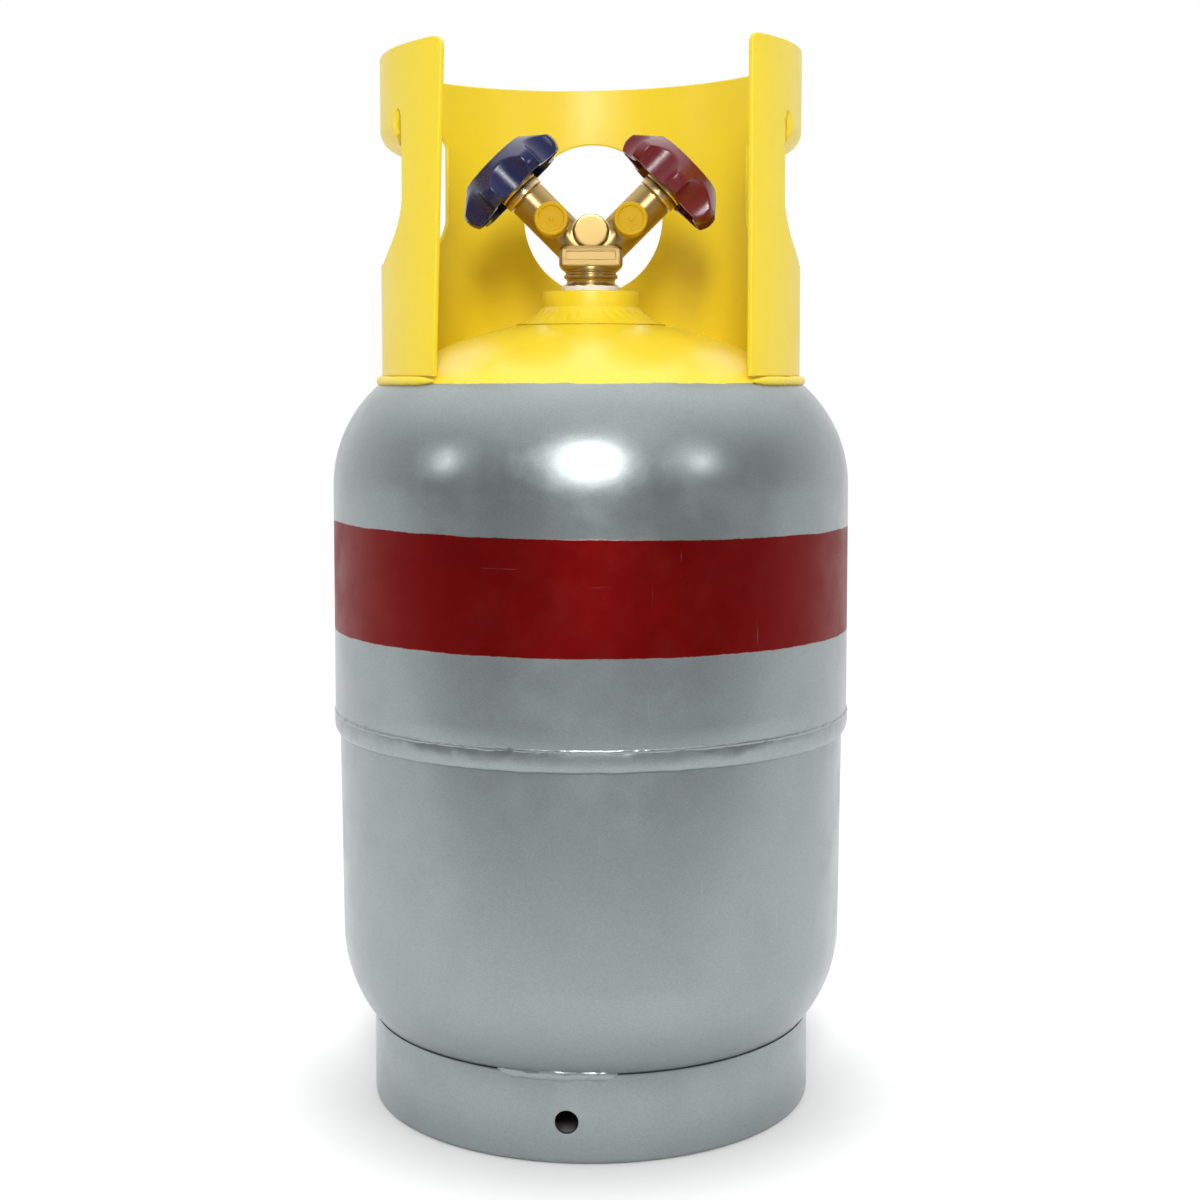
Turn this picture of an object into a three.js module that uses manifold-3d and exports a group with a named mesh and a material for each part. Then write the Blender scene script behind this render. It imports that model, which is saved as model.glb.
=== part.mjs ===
/**
 * Portable refrigerant recovery cylinder: a welded two-piece steel pressure vessel with a foot
 * ring, a valve guard (collar) with two hand grips, and a brass Y valve with two handwheels.
 *
 * Millimetres, +Z up. The origin is the middle of the circle that the foot ring stands on, and
 * the front (valve ports) faces -Y. An azimuth is measured round Z from the front, positive
 * towards +X.
 */
import * as THREE from 'three';
import { mergeVertices } from 'three/addons/utils/BufferGeometryUtils.js';
import Module from 'manifold-3d';

const wasm = await Module();
wasm.setup();

const GAP = 0.3; // clearance between neighbouring solids
const RING_SIDES = 40; // facets round the large turned pieces
const BOSS_SIDES = 28; // facets round the boss, the bonnets and the caps
const SMALL_SIDES = 16; // facets round the smaller valve pieces

// Pressure vessel
const SHELL_R = 116.5;
const SHELL_WALL = 2.2;
const KNUCKLE_R = 60;
const TOP_KNUCKLE_Z = 278;
const TOP_TANGENT = THREE.MathUtils.degToRad(60);
const LAP_BOTTOM_Z = 177.3;
const LOWER_LAP_TOP_Z = 192;
const LOWER_R_TOP = 114.4;
const LOWER_R_BOTTOM = 113.4;
const LOWER_KNUCKLE_Z = 77.5;
const LOWER_TANGENT = THREE.MathUtils.degToRad(72);
const GIRTH_WELD_BOTTOM_Z = 165;
const GIRTH_WELD_R = 117.4;

// Valve boss on the crown
const BOSS_R = 22;
const BOSS_TOP_Z = 365;
const BOSS_SPIGOT_R = 19.7;
const BOSS_SPIGOT_BOTTOM_Z = 341;
const BOSS_BORE_R = 13.6;
const BOSS_WELD_R = 34;
const BOSS_WELD_TOP_Z = 358;

// Foot ring
const FOOT_R = 99.6;
const FOOT_SHEET = 2.2;
const FOOT_LIP_R = 91.5;
const FOOT_CORNER_R = 3;
const FOOT_HOLE_R = 5;
const FOOT_HOLE_Z = 18.3;
const FOOT_HOLE_AZIMUTHS = [-5.9, 114.1, 234.1];
const FOOT_WELD_AZIMUTHS = { front: -8.5, right: 111.5, left: 231.5 };
const FOOT_WELD_HALF_ANGLE = 16;

// Valve guard
const COLLAR_R = 94.4;
const COLLAR_SHEET = 2.4;
const COLLAR_BOTTOM_Z = 326.9;
const COLLAR_TOP_Z = 468.9;
const COLLAR_TOP_SLOPE = 0.018; // the top edge rises a little towards +X
const COLLAR_RIGHT_EDGE = 45.5; // azimuths of the front opening, in degrees
const COLLAR_LEFT_EDGE = -44.6;
const COLLAR_LEFT_LEAN = 3.7; // degrees that the left edge leans in, over the collar's height
const HORN_CORNER_R = { left: 3.5, right: 5 };
const HAND_HOLES = { left: { front: -48.6, rear: 62.5 }, right: { front: -44, rear: 55.4 } };
const HAND_HOLE_BOTTOM_Z = 376.5;
const HAND_HOLE_FLARE_Z = 402;
const HAND_HOLE_TOP_Z = 437.5;
const GRIP_RELIEF_Z = 441;
const GRIP_RELIEF_WIDTH = 6;
const GRIP_BEND_Z = 436;
const GRIP_BEND_R = 9;
const WINDOW = { x: 1.2, z: 405.3, halfWidth: 35, halfHeight: 36.8 };
const COLLAR_WELDS = { left: [-100, -44], right: [46, 100], rear: [152, 208] };

// Y valve
const ARM_APEX_Z = 378.5; // where both arm axes meet the valve's axis
const ARM_TILT = THREE.MathUtils.degToRad(45);
const ARM_R = 8.9;
const ARM_END = 41; // distances along an arm are measured from its apex
const SEAT_AT = 19;
const CHAMBER_R = 5.4;
const BONNET_AT = 30;
const BONNET_BORE_R = 7.3;
const PORT_AT = 24.7;
const PORT_THREAD_R = 5.5;
const PORT_BORE_R = 2.4;
const PORT_END_Y = -25.5;
const BLOCK = { width: 28.4, depth: 25, bottomZ: 375, topZ: 385.3, bevel: 1.6 };
const RELIEF_Z = 392;
const RELIEF_BOSS_R = 7.7;
const RELIEF_BOSS_END_Y = 15;
const LIQUID_X = 5.5;
const VAPOR_X = -6;
const PASSAGE_R = 3;
const DIP_TUBE_R = 4.5;
const DIP_TUBE_BOTTOM_Z = 24;
const DIP_TUBE_TOP_Z = 353;

// Handwheels, in the frame of an arm
const WHEEL_RIM_AT = 45.5;
const WHEEL_HEIGHT = 17;
const WHEEL_R = 27.3;
const WHEEL_LOBES = 7;
const SCALLOP = { radius: 12.2, distance: 33.7 };
const STEM_SQUARE = 5;

const STEEL_GREY = { color: 0x969e9f, roughness: 0.42, metalness: 0.6 };
const YELLOW_PAINT = { color: 0xe6c52c, roughness: 0.45, metalness: 0 };
const FORGED_BRASS = { color: 0x96783c, roughness: 0.5, metalness: 1 };
const MACHINED_BRASS = { color: 0xb8923f, roughness: 0.3, metalness: 1 };
const STEEL = { color: 0x9a9a98, roughness: 0.35, metalness: 1 };
const WHITE_PTFE = { color: 0xe8e6df, roughness: 0.6, metalness: 0 };
const CAP_YELLOW = { color: 0xf0c800, roughness: 0.55, metalness: 0 };
const WHEEL_BLUE = { color: 0x2d2d69, roughness: 0.35, metalness: 0 };
const WHEEL_RED = { color: 0x731e28, roughness: 0.35, metalness: 0 };

// ---------------------------------------------------------------- geometry helpers

/** Position-only, welded geometry whose triangles face outwards. */
function closed(geometry) {
  geometry.deleteAttribute('normal');
  geometry.deleteAttribute('uv');
  const welded = mergeVertices(geometry, 1e-4);
  const points = welded.getAttribute('position');
  const source = welded.getIndex().array;
  const corner = [new THREE.Vector3(), new THREE.Vector3(), new THREE.Vector3()];
  const kept = [];
  let volume = 0;
  for (let i = 0; i < source.length; i += 3) {
    const [a, b, c] = source.slice(i, i + 3);
    if (a === b || b === c || c === a) continue;
    kept.push(a, b, c);
    [a, b, c].forEach((vertex, k) => corner[k].fromBufferAttribute(points, vertex));
    volume += corner[0].dot(corner[1].cross(corner[2]));
  }
  welded.setIndex(volume < 0 ? kept.reverse() : kept);
  return welded;
}

/** A closed geometry as a solid that can be joined and cut. */
function solid(geometry) {
  const welded = closed(geometry);
  const vertProperties = new Float32Array(welded.getAttribute('position').array);
  const triVerts = new Uint32Array(welded.getIndex().array);
  return new wasm.Manifold(new wasm.Mesh({ numProp: 3, vertProperties, triVerts }));
}

/** The geometry of a joined or cut solid. */
function geometryOf(body) {
  const mesh = body.getMesh();
  const geometry = new THREE.BufferGeometry();
  geometry.setAttribute('position', new THREE.BufferAttribute(mesh.vertProperties, 3));
  geometry.setIndex(new THREE.BufferAttribute(mesh.triVerts, 1));
  return geometry;
}

/** Join the first list of geometries and cut the second list out of it. */
function carve(joined, removed = []) {
  let body = joined.map(solid).reduce((whole, piece) => whole.add(piece));
  for (const cutter of removed) body = body.subtract(solid(cutter));
  return geometryOf(body);
}

/** Turn a closed outline of [radius, height] points about Z. */
function turned(outline, sides = SMALL_SIDES) {
  const points = outline.map(([radius, height]) => new THREE.Vector2(radius, height));
  return new THREE.LatheGeometry(points, sides).rotateX(Math.PI / 2);
}

/** Turn an outline that doesn't touch the axis, closing it on its first point. */
function turnedRing(outline, sides = SMALL_SIDES) {
  return turned([...outline, outline[0]], sides);
}

/** Points of an arc in the [radius, height] plane, angles counted from +radius towards +height. */
function arc([centreR, centreZ], radius, from, to, steps) {
  return Array.from({ length: steps + 1 }, (_, i) => {
    const angle = from + ((to - from) * i) / steps;
    return [centreR + radius * Math.cos(angle), centreZ + radius * Math.sin(angle)];
  });
}

/** A straight round bar between two points. */
function rod(start, end, radius, endRadius = radius, sides = SMALL_SIDES) {
  const from = new THREE.Vector3(...start);
  const axis = new THREE.Vector3(...end).sub(from);
  const bar = new THREE.CylinderGeometry(endRadius, radius, axis.length(), sides);
  bar.translate(0, axis.length() / 2, 0);
  bar.applyQuaternion(new THREE.Quaternion().setFromUnitVectors(
    new THREE.Vector3(0, 1, 0),
    axis.normalize(),
  ));
  return bar.translate(...start);
}

/** A box from its middle and its size. */
function block(centre, size) {
  return new THREE.BoxGeometry(...size).translate(...centre);
}

/**
 * Sweep a section round Z between two azimuths in degrees. sectionAt(share) gives a loop of
 * [radius, height, extra azimuth in degrees], with the same number of points at every share.
 */
function arcSweep(sectionAt, from, to, steps) {
  const loops = Array.from({ length: steps + 1 }, (_, i) => sectionAt(i / steps));
  const count = loops[0].length;
  const positions = [];
  loops.forEach((loop, i) => {
    for (const [radius, height, lean = 0] of loop) {
      const azimuth = THREE.MathUtils.degToRad(from + ((to - from) * i) / steps + lean);
      positions.push(radius * Math.sin(azimuth), -radius * Math.cos(azimuth), height);
    }
  });
  const index = [];
  for (let i = 0; i < steps; i += 1) {
    for (let j = 0; j < count; j += 1) {
      const next = (j + 1) % count;
      const [a, b] = [i * count + j, i * count + next];
      index.push(a, b, b + count, a, b + count, a + count);
    }
  }
  const flat = (loop) => loop.map(([radius, height]) => new THREE.Vector2(radius, height));
  const cap = (loop, base, flip) => {
    for (const [a, b, c] of THREE.ShapeUtils.triangulateShape(flat(loop), [])) {
      index.push(...(flip ? [base + a, base + c, base + b] : [base + a, base + b, base + c]));
    }
  };
  const firstTurn = THREE.ShapeUtils.isClockWise(flat(loops[0]));
  cap(loops[0], 0, !firstTurn);
  cap(loops[steps], steps * count, firstTurn);
  const geometry = new THREE.BufferGeometry();
  geometry.setAttribute('position', new THREE.Float32BufferAttribute(positions, 3));
  geometry.setIndex(index);
  return geometry;
}

/** A named mesh with its own material. */
function part(name, geometry, finish) {
  const mesh = new THREE.Mesh(closed(geometry), new THREE.MeshStandardMaterial(finish));
  mesh.name = name;
  return mesh;
}

// ---------------------------------------------------------------- pressure vessel

/** Height of the upper shell's outer face at a radius. */
function crownZ(radius) {
  const knuckleCentreR = SHELL_R - KNUCKLE_R;
  const crownR = KNUCKLE_R + knuckleCentreR / Math.cos(TOP_TANGENT);
  const crownCentreZ = TOP_KNUCKLE_Z - (crownR - KNUCKLE_R) * Math.sin(TOP_TANGENT);
  const onCrown = radius < crownR * Math.cos(TOP_TANGENT);
  return onCrown
    ? crownCentreZ + Math.sqrt(crownR ** 2 - radius ** 2)
    : TOP_KNUCKLE_Z + Math.sqrt(KNUCKLE_R ** 2 - (radius - knuckleCentreR) ** 2);
}

/** Height of the lower shell's outer face at a radius, on its knuckle. */
function underKnuckleZ(radius) {
  const centreR = LOWER_R_BOTTOM - KNUCKLE_R;
  return LOWER_KNUCKLE_Z - Math.sqrt(KNUCKLE_R ** 2 - (radius - centreR) ** 2);
}

/** One face of the upper head, from the straight wall up to the boss hole. */
function upperFace(inset) {
  const knuckleCentre = [SHELL_R - KNUCKLE_R, TOP_KNUCKLE_Z];
  const crownR = KNUCKLE_R + knuckleCentre[0] / Math.cos(TOP_TANGENT);
  const crownCentre = [0, TOP_KNUCKLE_Z - (crownR - KNUCKLE_R) * Math.sin(TOP_TANGENT)];
  const holeAngle = Math.acos((BOSS_SPIGOT_R + GAP) / (crownR - inset));
  return [
    [SHELL_R - inset, LAP_BOTTOM_Z],
    ...arc(knuckleCentre, KNUCKLE_R - inset, 0, TOP_TANGENT, 5),
    ...arc(crownCentre, crownR - inset, TOP_TANGENT, holeAngle, 3).slice(1),
  ];
}

function upperShell() {
  const outline = [...upperFace(0), ...upperFace(SHELL_WALL).reverse()];
  return part('upper_shell', turnedRing(outline, RING_SIDES), STEEL_GREY);
}

/** One face of the lower head, from its middle up to the lap under the upper shell. */
function lowerFace(inset) {
  const knuckleCentre = [LOWER_R_BOTTOM - KNUCKLE_R, LOWER_KNUCKLE_Z];
  const crownR = KNUCKLE_R + knuckleCentre[0] / Math.cos(LOWER_TANGENT);
  const crownCentre = [0, LOWER_KNUCKLE_Z + (crownR - KNUCKLE_R) * Math.sin(LOWER_TANGENT)];
  const lapR = SHELL_R - SHELL_WALL - GAP - inset;
  return [
    ...arc(crownCentre, crownR - inset, -Math.PI / 2, -LOWER_TANGENT, 2),
    ...arc(knuckleCentre, KNUCKLE_R - inset, -LOWER_TANGENT, 0, 6).slice(1),
    [LOWER_R_TOP - inset, GIRTH_WELD_BOTTOM_Z + 3],
    [lapR, LAP_BOTTOM_Z - 3],
    [lapR, LOWER_LAP_TOP_Z],
  ];
}

function lowerShell() {
  const outline = [...lowerFace(0), ...lowerFace(SHELL_WALL).reverse()];
  outline[0][0] = 0;
  outline[outline.length - 1][0] = 0;
  return part('lower_shell', turned(outline, RING_SIDES), STEEL_GREY);
}

function girthWeld() {
  const root = LOWER_R_TOP + GAP;
  const outline = [
    [root, GIRTH_WELD_BOTTOM_Z],
    [root + 1.2, GIRTH_WELD_BOTTOM_Z + 0.4],
    [GIRTH_WELD_R, GIRTH_WELD_BOTTOM_Z + 5],
    [GIRTH_WELD_R, LAP_BOTTOM_Z - 2],
    [SHELL_R + 0.3, LAP_BOTTOM_Z - GAP],
    [root, LAP_BOTTOM_Z - GAP],
  ];
  return part('girth_weld', turnedRing(outline, RING_SIDES), STEEL_GREY);
}

function valveBoss() {
  const shoulderZ = crownZ(BOSS_SPIGOT_R) + GAP;
  const outline = [
    [BOSS_BORE_R, BOSS_SPIGOT_BOTTOM_Z],
    [BOSS_SPIGOT_R, BOSS_SPIGOT_BOTTOM_Z],
    [BOSS_SPIGOT_R, shoulderZ],
    [BOSS_R, shoulderZ],
    [BOSS_R, BOSS_TOP_Z - 0.8],
    [BOSS_R - 0.8, BOSS_TOP_Z],
    [BOSS_BORE_R, BOSS_TOP_Z],
  ];
  return part('valve_boss', turnedRing(outline, BOSS_SIDES), YELLOW_PAINT);
}

function bossWeld() {
  const root = BOSS_R + GAP;
  const toe = [BOSS_WELD_R, crownZ(BOSS_WELD_R) + 2 * GAP];
  const face = new THREE.QuadraticBezierCurve(
    new THREE.Vector2(...toe),
    new THREE.Vector2(root + 2.5, crownZ(root) + 1.2),
    new THREE.Vector2(root, BOSS_WELD_TOP_Z),
  );
  const underside = [root, (root + BOSS_WELD_R) / 2, BOSS_WELD_R];
  const outline = [
    ...underside.map((radius) => [radius, crownZ(radius) + GAP]),
    ...face.getPoints(4).map((point) => [point.x, point.y]),
  ];
  return part('boss_weld', turnedRing(outline, BOSS_SIDES), YELLOW_PAINT);
}

// ---------------------------------------------------------------- foot ring

function footRing() {
  const innerR = FOOT_R - FOOT_SHEET;
  const corner = [FOOT_R - FOOT_CORNER_R, FOOT_CORNER_R];
  const innerCorner = FOOT_CORNER_R - FOOT_SHEET;
  const outline = [
    [FOOT_LIP_R, 0],
    ...arc(corner, FOOT_CORNER_R, -Math.PI / 2, 0, 3),
    [FOOT_R, underKnuckleZ(FOOT_R) - GAP],
    [innerR, underKnuckleZ(innerR) - GAP],
    ...arc(corner, innerCorner, 0, -Math.PI / 2, 2),
    [FOOT_LIP_R, FOOT_SHEET],
  ];
  const holes = FOOT_HOLE_AZIMUTHS.map((azimuth) => rod(
    [0, FOOT_LIP_R - 4, FOOT_HOLE_Z],
    [0, FOOT_R + 4, FOOT_HOLE_Z],
    FOOT_HOLE_R,
  ).rotateZ(Math.PI + THREE.MathUtils.degToRad(azimuth)));
  return part('foot_ring', carve([turnedRing(outline, RING_SIDES)], holes), STEEL_GREY);
}

function footWeld(name, azimuth) {
  const root = FOOT_R + GAP;
  const top = FOOT_R + 2.6;
  const section = [
    [root, underKnuckleZ(root) - 2.8],
    [root + 1, underKnuckleZ(root) - 2.2],
    [top, underKnuckleZ(top) - 2.6],
    [top, underKnuckleZ(top) - GAP],
    [root, underKnuckleZ(root) - GAP],
  ];
  const [from, to] = [azimuth - FOOT_WELD_HALF_ANGLE, azimuth + FOOT_WELD_HALF_ANGLE];
  return part(`foot_weld_${name}`, arcSweep(() => section, from, to, 5), STEEL_GREY);
}

// ---------------------------------------------------------------- valve guard

/** The rolled sheet, from the right edge of the front opening round the back to the left edge. */
function collarWall() {
  const start = COLLAR_RIGHT_EDGE;
  const end = 360 + COLLAR_LEFT_EDGE;
  const innerR = COLLAR_R - COLLAR_SHEET;
  const sectionAt = (share) => {
    const azimuth = THREE.MathUtils.degToRad(start + (end - start) * share);
    const topZ = COLLAR_TOP_Z + COLLAR_TOP_SLOPE * COLLAR_R * Math.sin(azimuth);
    const lean = share === 1 ? COLLAR_LEFT_LEAN : 0;
    return [
      [innerR, COLLAR_BOTTOM_Z],
      [COLLAR_R, COLLAR_BOTTOM_Z],
      [COLLAR_R, topZ, lean],
      [innerR, topZ, lean],
    ];
  };
  return arcSweep(sectionAt, start, end, 30);
}

/** Side cutter for one hand hole, with a relief slit at each end of its grip. */
function handHole(side, { front, rear }) {
  const flare = 27;
  const shape = new THREE.Shape();
  shape.moveTo(front, HAND_HOLE_FLARE_Z);
  shape.quadraticCurveTo(front + 3, HAND_HOLE_BOTTOM_Z + 8, front + flare, HAND_HOLE_BOTTOM_Z);
  shape.lineTo(rear - flare, HAND_HOLE_BOTTOM_Z);
  shape.quadraticCurveTo(rear - 3, HAND_HOLE_BOTTOM_Z + 8, rear, HAND_HOLE_FLARE_Z);
  shape.lineTo(rear, GRIP_RELIEF_Z - 3);
  shape.lineTo(rear - 3, GRIP_RELIEF_Z);
  shape.lineTo(rear - GRIP_RELIEF_WIDTH, GRIP_RELIEF_Z);
  shape.lineTo(rear - GRIP_RELIEF_WIDTH, HAND_HOLE_TOP_Z);
  shape.lineTo(front + GRIP_RELIEF_WIDTH, HAND_HOLE_TOP_Z);
  shape.lineTo(front + GRIP_RELIEF_WIDTH, GRIP_RELIEF_Z);
  shape.lineTo(front + 3, GRIP_RELIEF_Z);
  shape.lineTo(front, GRIP_RELIEF_Z - 3);
  const cutter = new THREE.ExtrudeGeometry(shape, {
    depth: 60,
    bevelEnabled: false,
    curveSegments: 5,
  });
  // Shape x runs along world Y, shape y along world Z, and the depth along world X.
  cutter.applyMatrix4(new THREE.Matrix4().makeBasis(
    new THREE.Vector3(0, 1, 0),
    new THREE.Vector3(0, 0, 1),
    new THREE.Vector3(1, 0, 0),
  ));
  return cutter.translate(side > 0 ? 50 : -110, 0, 0);
}

/** The sheet above a hand hole, rolled inwards as a grip: longest at its middle. */
function grip(side, { front, rear }) {
  const azimuthAt = (y, radius) => THREE.MathUtils.radToDeg(Math.acos(-y / radius));
  const from = azimuthAt(front + GRIP_RELIEF_WIDTH, COLLAR_R);
  const to = azimuthAt(rear - GRIP_RELIEF_WIDTH, COLLAR_R);
  const proud = 0.1;
  const centre = [COLLAR_R - GRIP_BEND_R, GRIP_BEND_Z];
  const sectionAt = (share) => {
    const bend = -THREE.MathUtils.degToRad(60 + 60 * Math.sin(Math.PI * share));
    return [
      [COLLAR_R - COLLAR_SHEET - proud, GRIP_BEND_Z + 3],
      ...arc(centre, GRIP_BEND_R - COLLAR_SHEET - proud, 0, bend, 6),
      ...arc(centre, GRIP_BEND_R + proud, bend, 0, 6),
      [COLLAR_R + proud, GRIP_BEND_Z + 3],
    ];
  };
  return arcSweep(sectionAt, side * from, side * to, 9);
}

/** Rear window: an oval hole through the back of the collar. */
function rearWindow() {
  const tunnel = rod([0, 60, 0], [0, 110, 0], 1, 1, 40);
  tunnel.scale(WINDOW.halfWidth, 1, WINDOW.halfHeight);
  return tunnel.translate(WINDOW.x, 0, WINDOW.z);
}

/** What is left outside a rounded corner at the top of a front edge of the collar. */
function hornCorner(side) {
  const radius = side < 0 ? HORN_CORNER_R.left : HORN_CORNER_R.right;
  const edge = side < 0 ? COLLAR_LEFT_EDGE + COLLAR_LEFT_LEAN : COLLAR_RIGHT_EDGE;
  const azimuth = THREE.MathUtils.degToRad(edge);
  const topZ = COLLAR_TOP_Z + COLLAR_TOP_SLOPE * COLLAR_R * Math.sin(azimuth);
  const shape = new THREE.Shape();
  shape.moveTo(-2, -radius);
  shape.lineTo(0, -radius);
  shape.absarc(radius, -radius, radius, Math.PI, Math.PI / 2, true);
  shape.lineTo(radius, 2);
  shape.lineTo(-2, 2);
  const cutter = new THREE.ExtrudeGeometry(shape, {
    depth: 14,
    bevelEnabled: false,
    curveSegments: 5,
  });
  // Shape x runs away from the opening, shape y up and the depth outwards.
  cutter.applyMatrix4(new THREE.Matrix4().makeBasis(
    new THREE.Vector3(side, 0, 0),
    new THREE.Vector3(0, 0, 1),
    new THREE.Vector3(0, -1, 0),
  ));
  return cutter.translate(0, 8 - COLLAR_R, topZ).rotateZ(azimuth);
}

function collar() {
  const wall = carve([collarWall()], [
    handHole(-1, HAND_HOLES.left),
    handHole(1, HAND_HOLES.right),
    rearWindow(),
    hornCorner(-1),
    hornCorner(1),
  ]);
  const grips = [grip(-1, HAND_HOLES.left), grip(1, HAND_HOLES.right)];
  return part('collar', carve([wall, ...grips]), YELLOW_PAINT);
}

function collarWeld(name, [from, to]) {
  const root = COLLAR_R + GAP;
  const toe = COLLAR_R + 3.8;
  const section = [
    [root, crownZ(root) + 1.2 * GAP],
    [toe, crownZ(toe) + 1.2 * GAP],
    [toe - 0.6, crownZ(toe) + 3.6],
    [root + 1.6, COLLAR_BOTTOM_Z + 1.6],
    [root, COLLAR_BOTTOM_Z + 3],
  ];
  return part(`collar_weld_${name}`, arcSweep(() => section, from, to, 8), YELLOW_PAINT);
}

// ---------------------------------------------------------------- Y valve body

/** Point on an arm's axis: side -1 is the vapour arm, +1 the liquid arm. */
function onArm(side, distance, y = 0) {
  const reach = distance * Math.sin(ARM_TILT);
  return [side * reach, y, ARM_APEX_Z + distance * Math.cos(ARM_TILT)];
}

/** Square block with bevelled edges, on which a spanner holds the valve. */
function spannerBlock() {
  const { width, depth, bottomZ, topZ, bevel } = BLOCK;
  const half = [width / 2 - bevel, depth / 2 - bevel];
  const shape = new THREE.Shape();
  shape.moveTo(-half[0], -half[1]);
  shape.lineTo(half[0], -half[1]);
  shape.lineTo(half[0], half[1]);
  shape.lineTo(-half[0], half[1]);
  const height = topZ - bottomZ;
  return new THREE.ExtrudeGeometry(shape, {
    depth: height - 2 * bevel,
    bevelThickness: bevel,
    bevelSize: bevel,
    bevelSegments: 1,
  }).translate(0, 0, bottomZ + bevel);
}

function valveBody() {
  const tapeSeatR = 12.3;
  const shank = turned([
    [0, BOSS_SPIGOT_BOTTOM_Z + 4],
    [12.6, BOSS_SPIGOT_BOTTOM_Z + 4],
    [BOSS_BORE_R - GAP, BOSS_TOP_Z - 1],
    [tapeSeatR, BOSS_TOP_Z],
    [tapeSeatR, BLOCK.bottomZ - 2],
    [BLOCK.depth / 2 - 0.6, BLOCK.bottomZ + 1],
    [0, BLOCK.bottomZ + 1],
  ], BOSS_SIDES);
  const joined = [
    shank,
    spannerBlock(),
    rod([0, -11, RELIEF_Z], [0, RELIEF_BOSS_END_Y, RELIEF_Z], RELIEF_BOSS_R),
    block([0, 0, (BLOCK.topZ + RELIEF_Z) / 2], [9, 14, RELIEF_Z - BLOCK.topZ + 4]),
  ];
  const removed = [
    rod([LIQUID_X, 0, 340], [LIQUID_X, 0, DIP_TUBE_TOP_Z + GAP], DIP_TUBE_R + GAP),
    rod([LIQUID_X, 0, 350], [LIQUID_X, 0, 386], PASSAGE_R),
    rod([VAPOR_X, 0, 340], [VAPOR_X, 0, RELIEF_Z], PASSAGE_R),
    rod([0, -2, RELIEF_Z], [0, RELIEF_BOSS_END_Y + 2, RELIEF_Z], 4),
    rod([0, 5, RELIEF_Z], [0, RELIEF_BOSS_END_Y + 2, RELIEF_Z], 6),
  ];
  for (const side of [-1, 1]) {
    const port = onArm(side, PORT_AT);
    const portPoint = (y) => [port[0], y, port[2]];
    const flareR = 2.9;
    joined.push(
      rod(onArm(side, 0), onArm(side, ARM_END), ARM_R, ARM_R, 24),
      rod(portPoint(0), portPoint(-11.5), 6.8),
      rod(portPoint(-11), portPoint(PORT_END_Y + 2.5), PORT_THREAD_R),
      rod(portPoint(PORT_END_Y + 2.5), portPoint(PORT_END_Y), PORT_THREAD_R, flareR),
    );
    removed.push(
      rod(onArm(side, 1), onArm(side, SEAT_AT + 1), 2.6),
      rod(onArm(side, SEAT_AT), onArm(side, BONNET_AT + 1), CHAMBER_R),
      rod(onArm(side, BONNET_AT), onArm(side, ARM_END + 2), BONNET_BORE_R),
      rod(portPoint(-3), portPoint(PORT_END_Y - 2), PORT_BORE_R),
    );
  }
  return part('valve_body', carve(joined, removed), FORGED_BRASS);
}

function threadTape() {
  const outline = [
    [12.6, BOSS_TOP_Z + GAP],
    [13.5, BOSS_TOP_Z + GAP],
    [13.3, BOSS_TOP_Z + 2.6],
    [12.6, BOSS_TOP_Z + 2.8],
  ];
  return part('thread_tape', turnedRing(outline, BOSS_SIDES), WHITE_PTFE);
}

function dipTube() {
  const outline = [
    [DIP_TUBE_R - 1, DIP_TUBE_BOTTOM_Z],
    [DIP_TUBE_R, DIP_TUBE_BOTTOM_Z],
    [DIP_TUBE_R, DIP_TUBE_TOP_Z],
    [DIP_TUBE_R - 1, DIP_TUBE_TOP_Z],
  ];
  return part('dip_tube', turnedRing(outline).translate(LIQUID_X, 0, 0), STEEL);
}

// ---------------------------------------------------------------- relief valve

const RELIEF_BODY_END = 34; // distances from the valve's axis, along the relief valve's own axis
const RELIEF_SEAT = 9;
const POPPET_SHOULDER = 12;
const RELIEF_RETAINER_AT = 31.3;

/** Turned relief-valve body with its hexagon, screwed into the back of the Y valve. */
function reliefBody() {
  const shellOutline = [
    [1.6, 5.6],
    [5.7, 5.6],
    [5.7, RELIEF_BOSS_END_Y + GAP],
    [7, RELIEF_BOSS_END_Y + GAP],
    [7, RELIEF_BODY_END],
    [4.6, RELIEF_BODY_END],
    [4.6, RELIEF_SEAT],
    [1.6, RELIEF_SEAT],
  ];
  const hexagon = rod([0, 0, RELIEF_BOSS_END_Y + GAP], [0, 0, RELIEF_BOSS_END_Y + 7], 8.8, 8.8, 6);
  const bore = rod([0, 0, 0], [0, 0, RELIEF_BODY_END], 5.5);
  return carve([turnedRing(shellOutline), carve([hexagon], [bore])]);
}

/** Poppet: a sealing disc with a guide stem. */
function reliefPoppet() {
  return turned([
    [0, RELIEF_SEAT + GAP],
    [4.2, RELIEF_SEAT + GAP],
    [4.2, POPPET_SHOULDER],
    [1.4, POPPET_SHOULDER],
    [1.4, RELIEF_RETAINER_AT - 1.3],
    [0, RELIEF_RETAINER_AT - 1.3],
  ]);
}

/** Compression spring between the poppet and the retainer. */
function reliefSpring() {
  const [wireR, coilR, turns] = [0.5, 3, 7];
  const from = POPPET_SHOULDER + GAP + wireR;
  const to = RELIEF_RETAINER_AT - GAP - wireR;
  class Helix extends THREE.Curve {
    getPoint(share, target = new THREE.Vector3()) {
      const angle = 2 * Math.PI * turns * share;
      const height = from + (to - from) * share;
      return target.set(coilR * Math.cos(angle), coilR * Math.sin(angle), height);
    }
  }
  const wire = new THREE.Shape();
  wire.absarc(0, 0, wireR, 0, 2 * Math.PI);
  return new THREE.ExtrudeGeometry(wire, {
    steps: turns * 8,
    extrudePath: new Helix(),
    curveSegments: 2,
  });
}

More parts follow.
